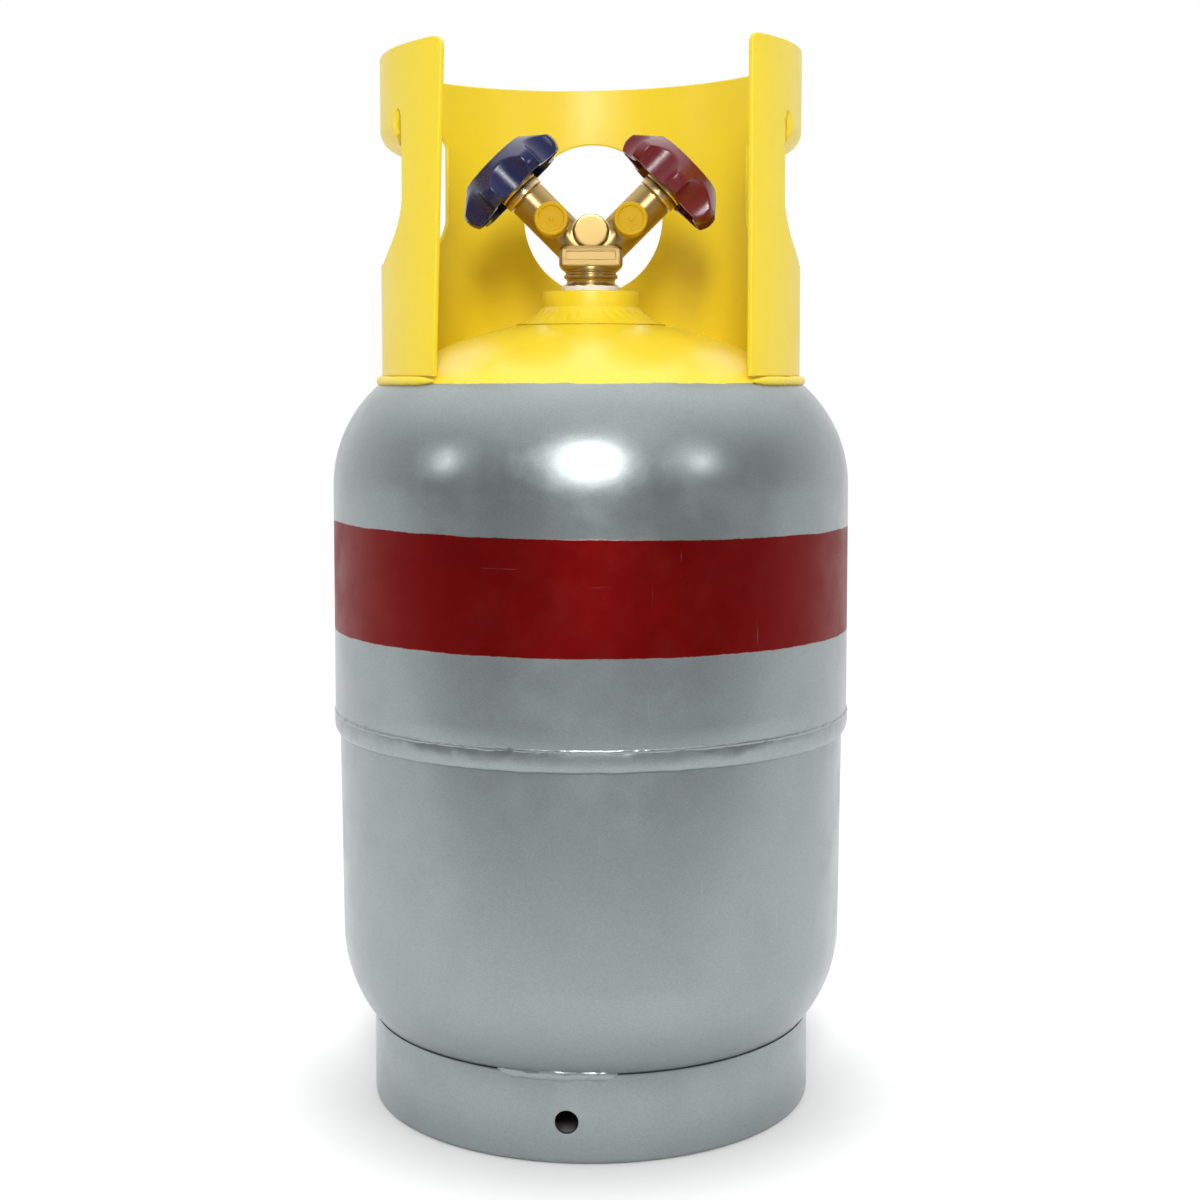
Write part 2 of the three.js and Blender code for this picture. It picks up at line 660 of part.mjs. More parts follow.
/** Drilled ring that holds the spring in the relief valve's mouth. */
function reliefRetainer() {
  return turnedRing([
    [1.8, RELIEF_RETAINER_AT],
    [4.3, RELIEF_RETAINER_AT],
    [4.3, RELIEF_BODY_END - 0.4],
    [1.8, RELIEF_BODY_END - 0.4],
  ]);
}

function reliefValve() {
  const valve = new THREE.Group();
  valve.add(
    part('relief_body', reliefBody(), MACHINED_BRASS),
    part('relief_poppet', reliefPoppet(), MACHINED_BRASS),
    part('relief_spring', reliefSpring(), STEEL),
    part('relief_retainer', reliefRetainer(), MACHINED_BRASS),
  );
  // The valve is drawn along +Z and points backwards along +Y.
  valve.rotation.x = -Math.PI / 2;
  valve.position.z = RELIEF_Z;
  return valve;
}

// ---------------------------------------------------------------- pieces of one arm

const BONNET_TOP_AT = 51.5;
const PACKING_AT = 45.3;
const STEM_R = 3.6;
const STEM_NECK_R = 3;
const STEM_LIFT = 3; // how far two turns of the handwheel raise the stem
const STEM_TOP_AT = 59.2;
const WHEEL_RECESS_AT = 59.5;

/** Screwed-in bonnet with the stem's thread below and the packing chamber above. */
function bonnet() {
  return turnedRing([
    [3.9, BONNET_AT + GAP],
    [7, BONNET_AT + GAP],
    [7, ARM_END + GAP],
    [9.6, ARM_END + GAP],
    [9.6, BONNET_TOP_AT - 1],
    [8.6, BONNET_TOP_AT],
    [5.8, BONNET_TOP_AT],
    [5.8, PACKING_AT - GAP],
    [3.9, PACKING_AT - GAP],
  ], BOSS_SIDES);
}

function packing() {
  const [from, to] = [PACKING_AT, PACKING_AT + 3.4];
  return turnedRing([[3.3, from], [5.5, from], [5.5, to], [3.3, to]]);
}

function glandRing() {
  const [from, to] = [PACKING_AT + 3.7, BONNET_TOP_AT + 0.3];
  return turnedRing([[3.3, from], [5.5, from], [5.5, to], [3.3, to]]);
}

/** Stem: spigot for the seat disc, thread, smooth neck and the square for the handwheel. */
function stem() {
  const turnedPart = turned([
    [0, 21.9],
    [1.5, 21.9],
    [1.5, 24.6],
    [STEM_R, 24.6],
    [STEM_R, PACKING_AT - STEM_LIFT - 2],
    [STEM_NECK_R, PACKING_AT - STEM_LIFT - 1],
    [STEM_NECK_R, BONNET_TOP_AT + 1],
    [0, BONNET_TOP_AT + 1],
  ]);
  const squareLength = STEM_TOP_AT - BONNET_TOP_AT - 0.7;
  const squareMiddle = [0, 0, STEM_TOP_AT - squareLength / 2];
  const square = block(squareMiddle, [STEM_SQUARE, STEM_SQUARE, squareLength]);
  const screwHole = rod([0, 0, 53], [0, 0, STEM_TOP_AT + 1], 1.7, 1.7, 12);
  return carve([turnedPart, square], [screwHole]);
}

/** Plastic disc that shuts the seat and doesn't turn with the stem. */
function seatDisc() {
  return turned([
    [0, SEAT_AT + GAP],
    [4.6, SEAT_AT + GAP],
    [4.6, 24.2],
    [1.8, 24.2],
    [1.8, 21.6],
    [0, 21.6],
  ]);
}

/** Moulded handwheel: a cone with scallops round it, hollow below, on a square hub. */
function handwheel() {
  const rim = WHEEL_RIM_AT;
  const top = rim + WHEEL_HEIGHT;
  const faceR = 17.6;
  const form = turned([
    [0, rim],
    [25.3, rim],
    [WHEEL_R, rim + 5],
    [WHEEL_R - 0.4, rim + 8.5],
    [faceR, top],
    [0, top],
  ], 42);
  const cavity = turnedRing([
    [6.5, rim - 1],
    [19.2, rim - 1],
    [18.5, rim + 7],
    [14.5, rim + 13],
    [6.5, rim + 13],
  ], 28);
  const hubEnd = BONNET_TOP_AT + 1.4;
  const removed = [
    cavity,
    rod([0, 0, rim - 1], [0, 0, hubEnd], 7),
    rod([0, 0, WHEEL_RECESS_AT], [0, 0, top + 1], 8),
    block([0, 0, 56], [STEM_SQUARE + 2 * GAP, STEM_SQUARE + 2 * GAP, 12]),
  ];
  for (let lobe = 0; lobe < WHEEL_LOBES; lobe += 1) {
    const angle = (2 * Math.PI * (lobe + 0.5)) / WHEEL_LOBES;
    const [x, y] = [SCALLOP.distance * Math.cos(angle), SCALLOP.distance * Math.sin(angle)];
    removed.push(rod([x, y, rim - 2], [x, y, top + 2], SCALLOP.radius, SCALLOP.radius, 24));
  }
  return carve([form], removed);
}

function wheelWasher() {
  const [from, to] = [WHEEL_RECESS_AT + GAP, WHEEL_RECESS_AT + 1.1];
  return turnedRing([[1.9, from], [6, from], [6, to], [1.9, to]]);
}

function wheelScrew() {
  const headAt = WHEEL_RECESS_AT + 1.4;
  const outline = [
    [0, 54.5],
    [1.4, 54.5],
    [1.4, headAt],
    [3.6, headAt],
    [3.2, headAt + 1.5],
    [0, headAt + 1.5],
  ];
  const slotZ = headAt + 1.5;
  return carve([turned(outline)], [block([0, 0, slotZ], [9, 0.9, 1.2])]);
}

/** Everything that turns or screws on one arm, drawn along +Z and tilted onto the arm. */
function armPieces(side, fluid, wheelFinish, wheelTurn) {
  const arm = new THREE.Group();
  const wheel = part(`handwheel_${fluid}`, handwheel(), wheelFinish);
  const spindle = part(`stem_${fluid}`, stem(), STEEL);
  wheel.rotation.z = wheelTurn;
  spindle.rotation.z = wheelTurn;
  arm.add(
    wheel,
    spindle,
    part(`bonnet_${fluid}`, bonnet(), MACHINED_BRASS),
    part(`packing_${fluid}`, packing(), WHITE_PTFE),
    part(`gland_ring_${fluid}`, glandRing(), MACHINED_BRASS),
    part(`seat_disc_${fluid}`, seatDisc(), WHITE_PTFE),
    part(`wheel_washer_${fluid}`, wheelWasher(), STEEL),
    part(`wheel_screw_${fluid}`, wheelScrew(), STEEL),
  );
  arm.position.z = ARM_APEX_Z;
  arm.rotation.y = side * ARM_TILT;
  return arm;
}

/** Push-on plastic cap over a flare port, drawn along -Y. */
function portCap(side, fluid) {
  const depth = -PORT_END_Y;
  const cap = turned([
    [0, depth + 2],
    [7, depth + 2],
    [7.5, depth + 1.5],
    [7.5, 12],
    [PORT_THREAD_R + GAP, 12],
    [PORT_THREAD_R + GAP, depth + GAP],
    [0, depth + GAP],
  ], BOSS_SIDES).rotateX(Math.PI / 2);
  const [x, , z] = onArm(side, PORT_AT);
  return part(`port_cap_${fluid}`, cap.translate(x, 0, z), CAP_YELLOW);
}

// ---------------------------------------------------------------- assembly

const cylinder = new THREE.Group();
cylinder.add(
  upperShell(),
  lowerShell(),
  girthWeld(),
  valveBoss(),
  bossWeld(),
  footRing(),
  collar(),
  valveBody(),
  threadTape(),
  dipTube(),
  reliefValve(),
  armPieces(-1, 'vapor', WHEEL_BLUE, THREE.MathUtils.degToRad(-64)),
  armPieces(1, 'liquid', WHEEL_RED, THREE.MathUtils.degToRad(-83)),
  portCap(-1, 'vapor'),
  portCap(1, 'liquid'),
);
for (const [name, azimuth] of Object.entries(FOOT_WELD_AZIMUTHS)) {
  cylinder.add(footWeld(name, azimuth));
}
for (const [name, span] of Object.entries(COLLAR_WELDS)) {
  cylinder.add(collarWeld(name, span));
}

export default cylinder;
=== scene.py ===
"""Looks of a portable refrigerant recovery cylinder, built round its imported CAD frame.

Lengths are given in millimetres and become metres when a mesh is made. +Z is up, the front of the
cylinder (ports and guard opening) faces -Y, and an azimuth turns round Z from the front towards +X.
"""

import logging
import math
from dataclasses import dataclass, field
from enum import Enum
from typing import Callable, Iterable, Sequence

import bmesh
import bpy
from mathutils import Euler, Matrix, Vector, geometry, noise


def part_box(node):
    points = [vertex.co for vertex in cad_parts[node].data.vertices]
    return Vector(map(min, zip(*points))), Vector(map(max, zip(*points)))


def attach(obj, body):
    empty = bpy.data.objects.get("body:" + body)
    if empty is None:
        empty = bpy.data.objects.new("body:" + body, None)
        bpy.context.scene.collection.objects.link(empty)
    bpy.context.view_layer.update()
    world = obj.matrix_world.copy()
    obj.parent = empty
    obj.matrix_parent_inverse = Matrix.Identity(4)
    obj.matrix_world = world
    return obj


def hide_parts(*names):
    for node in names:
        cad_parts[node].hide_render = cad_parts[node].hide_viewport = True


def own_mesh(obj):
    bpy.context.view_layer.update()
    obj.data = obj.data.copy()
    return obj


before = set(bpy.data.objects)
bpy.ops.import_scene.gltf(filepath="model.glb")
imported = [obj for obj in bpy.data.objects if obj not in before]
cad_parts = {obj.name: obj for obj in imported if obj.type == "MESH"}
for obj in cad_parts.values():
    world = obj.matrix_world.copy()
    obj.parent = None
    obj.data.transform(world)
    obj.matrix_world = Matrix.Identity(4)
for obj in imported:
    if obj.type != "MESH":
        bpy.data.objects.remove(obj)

LOG = logging.getLogger("recovery_cylinder")
MM = 0.001
GAP = 0.3  # clearance in millimetres between neighbouring pieces
WELD = 1e-4 * MM  # vertices closer than this are one

Point = tuple[float, float]
Colour = tuple[float, float, float, float]


class Body(Enum):
    """CAD bodies that a piece can ride on."""

    CYLINDER = "cylinder"
    VAPOR_WHEEL = "handwheel_vapor"
    LIQUID_WHEEL = "handwheel_liquid"
    VAPOR_CAP = "port_cap_vapor"
    LIQUID_CAP = "port_cap_liquid"


class Side(Enum):
    """The two arms of the Y valve, with the sign of X on which each one stands."""

    VAPOR = -1
    LIQUID = 1

    @property
    def fluid(self) -> str:
        """Word that ends the names of this arm's nodes."""
        return self.name.lower()


# ---------------------------------------------------------------- outlines and meshes


def box_mm(node: str) -> tuple[Vector, Vector]:
    """Lowest and highest corners of a CAD node, in millimetres.

    Args:
        node: Name of the CAD node.

    Returns:
        The two corners.
    """
    low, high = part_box(node)
    return low / MM, high / MM


def arc(centre: Point, radius: float, start: float, end: float, steps: int) -> list[Point]:
    """Points along an arc.

    Args:
        centre: Middle of the arc.
        radius: Its radius.
        start: First angle in degrees, from +x towards +y.
        end: Last angle in degrees.
        steps: Number of chords.

    Returns:
        The points, both ends included.
    """
    angles = [math.radians(start + (end - start) * i / steps) for i in range(steps + 1)]
    return [(centre[0] + radius * math.cos(a), centre[1] + radius * math.sin(a)) for a in angles]


def eased(outline: Sequence[Point], radius: float, closed: bool = True, steps: int = 3) -> list[Point]:
    """Round the corners of an outline.

    Args:
        outline: Corner points in order.
        radius: Rounding radius, made smaller where an edge is short.
        closed: Whether the last point joins the first.
        steps: Chords in each rounded corner.

    Returns:
        The outline with an arc at each corner that turns.
    """
    count = len(outline)
    points: list[Point] = []
    for i, (x, y) in enumerate(outline):
        if not closed and i in (0, count - 1):
            points.append((x, y))
            continue
        here = Vector((x, y))
        back = Vector(outline[i - 1]) - here
        ahead = Vector(outline[(i + 1) % count]) - here
        turn = math.pi - back.angle(ahead)
        if turn < 0.12:
            points.append((x, y))
            continue
        reach = min(radius * math.tan(turn / 2), 0.45 * back.length, 0.45 * ahead.length)
        first = here + back.normalized() * reach
        last = here + ahead.normalized() * reach
        for k in range(steps + 1):
            t = k / steps
            spot = first * (1 - t) ** 2 + here * (2 * t * (1 - t)) + last * t**2
            points.append((spot.x, spot.y))
    return points


def new_object(name: str, mesh: bpy.types.Mesh, smooth_below: float = 32.0) -> bpy.types.Object:
    """Link a mesh as an object, with shading that stays sharp at real edges.

    Args:
        name: Name of the piece.
        mesh: Its mesh, in metres and in place.
        smooth_below: Edges that turn less than this many degrees are shaded smooth.

    Returns:
        The linked object.
    """
    mesh.name = name
    mesh.polygons.foreach_set("use_smooth", [True] * len(mesh.polygons))
    mesh.set_sharp_from_angle(angle=math.radians(smooth_below))
    obj = bpy.data.objects.new(name, mesh)
    bpy.context.scene.collection.objects.link(obj)
    return obj


def as_mesh(name: str, shape: bmesh.types.BMesh) -> bpy.types.Mesh:
    """The mesh of a finished BMesh, which is freed."""
    mesh = bpy.data.meshes.new(name)
    shape.to_mesh(mesh)
    shape.free()
    return mesh


def closed_mesh(points: Sequence[Vector], faces: Iterable[Sequence[int]],
                turn: Matrix | None = None) -> bpy.types.Mesh:
    """A clean mesh from points in millimetres, with doubles merged and faces outwards.

    Args:
        points: Vertices in millimetres.
        faces: Vertex numbers of each face.
        turn: Placement in millimetres, applied to the points.

    Returns:
        The mesh in metres.
    """
    shape = bmesh.new()
    place = (Matrix.Scale(MM, 4) @ turn) if turn else Matrix.Scale(MM, 4)
    vertices = [shape.verts.new(place @ Vector(point)) for point in points]
    for face in faces:
        shape.faces.new([vertices[i] for i in face])
    bmesh.ops.remove_doubles(shape, verts=shape.verts, dist=WELD)
    bmesh.ops.dissolve_degenerate(shape, edges=shape.edges, dist=WELD)
    bmesh.ops.recalc_face_normals(shape, faces=shape.faces)
    return as_mesh("mesh", shape)


def turned_with(section: Callable[[float], Sequence[Point]], segments: int, turn: Matrix | None = None,
                ring: bool = True) -> bpy.types.Mesh:
    """Turn a section round Z, where the section may change on the way.

    Args:
        section: Gives the outline of (radius, height) at an angle in radians from the front.
        segments: Steps in the full circle.
        turn: Placement in millimetres.
        ring: Whether the outline closes on itself, rather than on the axis.

    Returns:
        The closed mesh in metres.
    """
    points: list[Vector] = []
    for i in range(segments):
        angle = 2 * math.pi * i / segments
        sine, cosine = math.sin(angle), math.cos(angle)
        points.extend(Vector((r * sine, -r * cosine, z)) for r, z in section(angle))
    count = len(points) // segments
    spans = count if ring else count - 1
    faces = []
    for i in range(segments):
        here, ahead = i * count, ((i + 1) % segments) * count
        for j in range(spans):
            k = (j + 1) % count
            faces.append((here + j, ahead + j, ahead + k, here + k))
    if ring:
        return closed_mesh(points, faces, turn)
    return poled_mesh(points, faces, turn)


def poled_mesh(points: Sequence[Vector], faces: Iterable[Sequence[int]],
               turn: Matrix | None = None) -> bpy.types.Mesh:
    """Like closed_mesh, for turned shapes whose ends meet on the axis, where quads become triangles."""
    shape = bmesh.new()
    place = (Matrix.Scale(MM, 4) @ turn) if turn else Matrix.Scale(MM, 4)
    poles: dict[float, bmesh.types.BMVert] = {}
    vertices = []
    for point in points:
        if math.hypot(point.x, point.y) < 1e-6:
            key = round(point.z, 5)
            if key not in poles:
                poles[key] = shape.verts.new(place @ point)
            vertices.append(poles[key])
        else:
            vertices.append(shape.verts.new(place @ point))
    for face in faces:
        corners = list(dict.fromkeys(vertices[i] for i in face))
        if len(corners) > 2:
            shape.faces.new(corners)
    bmesh.ops.recalc_face_normals(shape, faces=shape.faces)
    return as_mesh("mesh", shape)


def turned(outline: Sequence[Point], segments: int = 96, turn: Matrix | None = None,
           ring: bool = True) -> bpy.types.Mesh:
    """Turn one outline round Z. Arguments and result are as for turned_with."""
    return turned_with(lambda _angle: outline, segments, turn, ring)


def joined(name: str, meshes: Sequence[bpy.types.Mesh], smooth_below: float = 32.0) -> bpy.types.Object:
    """One object from several meshes that belong to one piece.

    Args:
        name: Name of the piece.
        meshes: Its parts.
        smooth_below: As for new_object.

    Returns:
        The object.
    """
    return layered(name, [(mesh, 0) for mesh in meshes], smooth_below)


def layered(name: str, layers: Sequence[tuple[bpy.types.Mesh, int]],
            smooth_below: float = 32.0) -> bpy.types.Object:
    """One object from meshes that take different material slots.

    Args:
        name: Name of the piece.
        layers: Meshes with the number of the slot that each one takes.
        smooth_below: As for new_object.

    Returns:
        The object.
    """
    shape = bmesh.new()
    for mesh, number in layers:
        before = len(shape.faces)
        shape.from_mesh(mesh)
        shape.faces.ensure_lookup_table()
        for face in shape.faces[before:]:
            face.material_index = number
    return new_object(name, as_mesh(name, shape), smooth_below)


def baked(obj: bpy.types.Object) -> bpy.types.Mesh:
    """The evaluated mesh of an object, after which the object is removed.

    Args:
        obj: Object with live modifiers.

    Returns:
        A plain mesh.
    """
    graph = bpy.context.evaluated_depsgraph_get()
    mesh = bpy.data.meshes.new_from_object(obj.evaluated_get(graph), depsgraph=graph)
    bpy.data.objects.remove(obj)
    return mesh


def loose_object(mesh: bpy.types.Mesh) -> bpy.types.Object:
    """A linked helper object for modifiers to work on."""
    obj = bpy.data.objects.new("helper", mesh)
    bpy.context.scene.collection.objects.link(obj)
    return obj


def cut_by(mesh: bpy.types.Mesh, cutter: bpy.types.Mesh) -> bpy.types.Mesh:
    """Cut one closed mesh with another.

    Args:
        mesh: What is cut.
        cutter: What is taken away.

    Returns:
        The mesh that is left.
    """
    stock = loose_object(mesh)
    tool = loose_object(cutter)
    modifier = stock.modifiers.new("cut", "BOOLEAN")
    modifier.operation = "DIFFERENCE"
    modifier.solver = "EXACT"
    modifier.object = tool
    left = baked(stock)
    bpy.data.objects.remove(tool)
    return left


def rod(start: Sequence[float], end: Sequence[float], radius: float, segments: int = 48) -> bpy.types.Mesh:
    """A plain closed cylinder between two points in millimetres."""
    begin = Vector(start)
    axis = Vector(end) - begin
    place = Matrix.Translation(begin) @ Vector((0, 0, 1)).rotation_difference(axis).to_matrix().to_4x4()
    outline = [(0, 0), (radius, 0), (radius, axis.length), (0, axis.length)]
    return turned(outline, segments, place, ring=False)


def upright(x: float, y: float, z: float, axis: Sequence[float]) -> Matrix:
    """Placement that stands a shape drawn along +Z on a point, along an axis."""
    spin = Vector((0, 0, 1)).rotation_difference(Vector(axis)).to_matrix().to_4x4()
    return Matrix.Translation((x, y, z)) @ spin


# ---------------------------------------------------------------- shader node groups


class Shader:
    """Short-hand for placing and linking nodes in one node tree."""

    def __init__(self, tree: bpy.types.NodeTree) -> None:
        """Args: tree: Node tree of a material or a group."""
        self.tree = tree

    def node(self, kind: str, **settings: object) -> bpy.types.Node:
        """Add a node and set its properties.

        Args:
            kind: Node type, without the ShaderNode prefix.
            **settings: Properties of the node.

        Returns:
            The node.
        """
        made = self.tree.nodes.new("ShaderNode" + kind)
        for key, value in settings.items():
            setattr(made, key, value)
        return made

    def feed(self, target: bpy.types.NodeSocket, value: object) -> None:
        """Link a socket to an input, or set the input to a constant."""
        if isinstance(value, bpy.types.NodeSocket):
            self.tree.links.new(value, target)
        else:
            target.default_value = value

    def math(self, operation: str, *values: object, clamp: bool = False) -> bpy.types.NodeSocket:
        """Output of a Math node on values or sockets."""
        made = self.node("Math", operation=operation, use_clamp=clamp)
        for target, value in zip(made.inputs, values):
            self.feed(target, value)
        return made.outputs[0]

    def ramp(self, value: object, low: float, high: float, to_low: float = 0.0,
             to_high: float = 1.0) -> bpy.types.NodeSocket:
        """Smoothly map a value from one range to another, clamped."""
        made = self.node("MapRange", interpolation_type="SMOOTHSTEP")
        for name, number in (("From Min", low), ("From Max", high), ("To Min", to_low), ("To Max", to_high)):
            self.feed(made.inputs[name], number)
        self.feed(made.inputs["Value"], value)
        return made.outputs["Result"]

    def mix(self, share: object, first: object, second: object, blend: str = "MIX") -> bpy.types.NodeSocket:
        """Mix two colours."""
        made = self.node("Mix", data_type="RGBA", blend_type=blend)
        self.feed(made.inputs["Factor"], share)
        self.feed(made.inputs["A"], first)
        self.feed(made.inputs["B"], second)
        return made.outputs["Result"]

    def noise(self, vector: object, scale: object, detail: float = 3.0, rough: float = 0.5,
              seed: object = None) -> bpy.types.NodeSocket:
        """Value of a noise texture; scale is in waves per metre."""
        made = self.node("TexNoise", noise_dimensions="4D" if seed is not None else "3D")
        self.feed(made.inputs["Vector"], vector)
        self.feed(made.inputs["Scale"], scale)
        made.inputs["Detail"].default_value = detail
        made.inputs["Roughness"].default_value = rough
        if seed is not None:
            self.feed(made.inputs["W"], seed)
        return made.outputs["Fac"]

    def cells(self, vector: object, scale: object, feature: str = "F1", output: str = "Distance",
              randomness: float = 1.0) -> bpy.types.NodeSocket:
        """Output of a Voronoi texture; scale is in cells per metre."""
        made = self.node("TexVoronoi", feature=feature)
        self.feed(made.inputs["Vector"], vector)
        self.feed(made.inputs["Scale"], scale)
        made.inputs["Randomness"].default_value = randomness
        return made.outputs[output]

    def stretched(self, vector: object, scale: Sequence[float],
                  rotation: Sequence[float] = (0, 0, 0)) -> bpy.types.NodeSocket:
        """The vector turned, then scaled on each axis."""
        made = self.node("Mapping", vector_type="POINT")
        self.feed(made.inputs["Vector"], vector)
        made.inputs["Scale"].default_value = scale
        made.inputs["Rotation"].default_value = rotation
        return made.outputs["Vector"]


class EffectGroup:
    """A shader node group with named inputs and outputs, built once and reused."""

    name = "effect"
    inputs: Sequence[tuple[str, str, object]] = ()
    outputs: Sequence[tuple[str, str]] = ()

    def wire(self, shader: Shader, source: bpy.types.Node, sink: bpy.types.Node) -> None:
        """Build the inside of the group between its input and output nodes."""
        raise NotImplementedError

    def tree(self) -> bpy.types.NodeTree:
        """The group's node tree, made the first time it is asked for."""
        known = bpy.data.node_groups.get(self.name)
        if known:
            return known
        made = bpy.data.node_groups.new(self.name, "ShaderNodeTree")
        for label, kind, default in self.inputs:
            socket = made.interface.new_socket(label, in_out="INPUT", socket_type=kind)
            if default is not None:
                socket.default_value = default
        for label, kind in self.outputs:
            made.interface.new_socket(label, in_out="OUTPUT", socket_type=kind)
        source = made.nodes.new("NodeGroupInput")
        sink = made.nodes.new("NodeGroupOutput")
        self.wire(Shader(made), source, sink)
        return made

    def place(self, shader: Shader, **values: object) -> bpy.types.Node:
        """Put the group into a material.

        Args:
            shader: The material's shader short-hand.
            **values: Inputs by name, with spaces as underscores.

        Returns:
            The group node.
        """
        node = shader.tree.nodes.new("ShaderNodeGroup")
        node.node_tree = self.tree()
        for key, value in values.items():
            shader.feed(node.inputs[key.replace("_", " ")], value)
        return node


class EnamelSkin(EffectGroup):
    """Sprayed enamel: orange peel, slow colour drift, fine speckle and metallic flake."""

    name = "enamel_skin"
    inputs = (
        ("Vector", "NodeSocketVector", None),
        ("Color", "NodeSocketColor", (0.8, 0.8, 0.8, 1)),
        ("Drift", "NodeSocketFloat", 0.06),
        ("Flake", "NodeSocketFloat", 0.0),
        ("Gloss Roughness", "NodeSocketFloat", 0.4),
        ("Seed", "NodeSocketFloat", 0.0),
    )
    outputs = (
        ("Color", "NodeSocketColor"),
        ("Roughness", "NodeSocketFloat"),
        ("Height", "NodeSocketFloat"),
    )

    def wire(self, shader: Shader, source: bpy.types.Node, sink: bpy.types.Node) -> None:
        """Wire colour, roughness and height in metres."""
        at = source.outputs["Vector"]
        seed = source.outputs["Seed"]
        cloud = shader.noise(at, 14.0, 4.0, 0.55, seed)
        fine = shader.noise(at, 160.0, 3.0, 0.6, seed)
        drift = shader.math("MULTIPLY", shader.math("SUBTRACT", cloud, 0.5), source.outputs["Drift"])
        speck = shader.math("MULTIPLY", shader.math("SUBTRACT", fine, 0.5),
                            shader.math("MULTIPLY", source.outputs["Drift"], 0.7))
        sparkle = shader.cells(at, 2600.0, output="Color")
        glint = shader.node("SeparateColor")
        shader.feed(glint.inputs[0], sparkle)
        flake = shader.math("MULTIPLY", shader.math("SUBTRACT", glint.outputs[0], 0.5),
                            source.outputs["Flake"])
        shade = shader.math("ADD", 1.0, shader.math("ADD", drift, shader.math("ADD", speck, flake)))
        grey = shader.node("CombineColor")
        for channel in grey.inputs:
            if channel.name in ("Red", "Green", "Blue"):
                shader.feed(channel, shade)
        colour = shader.mix(1.0, source.outputs["Color"], grey.outputs[0], "MULTIPLY")
        smear = shader.ramp(shader.noise(at, 38.0, 5.0, 0.65, seed), 0.35, 0.75, -0.05, 0.09)
        rough = shader.math("ADD", source.outputs["Gloss Roughness"], smear, clamp=True)
        peel = shader.noise(at, 620.0, 1.5, 0.4, seed)
        ripple = shader.noise(at, 75.0, 2.0, 0.5, seed)
        height = shader.math("ADD", shader.math("MULTIPLY", peel, 0.000011),
                             shader.math("MULTIPLY", ripple, 0.00005))
        shader.feed(sink.inputs["Color"], colour)
        shader.feed(sink.inputs["Roughness"], rough)
        shader.feed(sink.inputs["Height"], height)


class Handling(EffectGroup):
    """Marks of use: small chips, thin scratches and dust, as masks."""

    name = "handling_marks"
    inputs = (
        ("Vector", "NodeSocketVector", None),
        ("Chips", "NodeSocketFloat", 0.2),
        ("Scratches", "NodeSocketFloat", 0.2),
        ("Seed", "NodeSocketFloat", 0.0),
    )
    outputs = (("Chips", "NodeSocketFloat"), ("Scratches", "NodeSocketFloat"), ("Dust", "NodeSocketFloat"))

    def wire(self, shader: Shader, source: bpy.types.Node, sink: bpy.types.Node) -> None:
        """Wire the three masks."""
        at = source.outputs["Vector"]
        seed = source.outputs["Seed"]
        patch = shader.noise(at, 22.0, 4.0, 0.7, seed)
        spot = shader.cells(at, 260.0)
        level = shader.ramp(patch, 0.62, 0.78, 0.0, 0.16)
        chip = shader.ramp(shader.math("SUBTRACT", level, spot), 0.0, 0.02)
        thin = shader.noise(shader.stretched(at, (30, 30, 900), (0.3, 0.5, 0.2)), 1.0, 2.0, 0.5, seed)
        cross = shader.noise(shader.stretched(at, (700, 40, 30), (0.9, 0.1, 0.7)), 1.0, 2.0, 0.5, seed)
        lines = shader.math("MAXIMUM", shader.ramp(thin, 0.70, 0.74), shader.ramp(cross, 0.71, 0.75))
        scratched = shader.math("MULTIPLY", lines, shader.ramp(patch, 0.45, 0.6))
        dust = shader.ramp(shader.noise(at, 55.0, 6.0, 0.7, seed), 0.4, 0.8)
        shader.feed(sink.inputs["Chips"], shader.math("MULTIPLY", chip, source.outputs["Chips"]))
        shader.feed(sink.inputs["Scratches"], shader.math("MULTIPLY", scratched, source.outputs["Scratches"]))
        shader.feed(sink.inputs["Dust"], dust)


class CastGrain(EffectGroup):
    """Blasted forging or moulded skin: fine pits over slow lumps, with a mottled tone."""

    name = "cast_grain"
    inputs = (
        ("Vector", "NodeSocketVector", None),
        ("Grain Size", "NodeSocketFloat", 900.0),
        ("Depth", "NodeSocketFloat", 0.00004),
        ("Seed", "NodeSocketFloat", 0.0),
    )
    outputs = (("Tone", "NodeSocketFloat"), ("Height", "NodeSocketFloat"))

    def wire(self, shader: Shader, source: bpy.types.Node, sink: bpy.types.Node) -> None:
        """Wire tone from 0 to 1 and height in metres."""
        at = source.outputs["Vector"]
        seed = source.outputs["Seed"]
        grain = shader.noise(at, source.outputs["Grain Size"], 5.0, 0.7, seed)
        pits = shader.cells(at, shader.math("MULTIPLY", source.outputs["Grain Size"], 1.7), "SMOOTH_F1")
        lumps = shader.noise(at, 130.0, 3.0, 0.5, seed)
        tone = shader.math("ADD", shader.math("MULTIPLY", lumps, 0.6), shader.math("MULTIPLY", grain, 0.4))
        raised = shader.math("ADD", grain, shader.math("MULTIPLY", pits, 0.6))
        lumpy = shader.math("ADD", raised, shader.math("MULTIPLY", lumps, 1.5))
        shader.feed(sink.inputs["Tone"], shader.ramp(tone, 0.3, 0.7))
        shader.feed(sink.inputs["Height"], shader.math("MULTIPLY", lumpy, source.outputs["Depth"]))


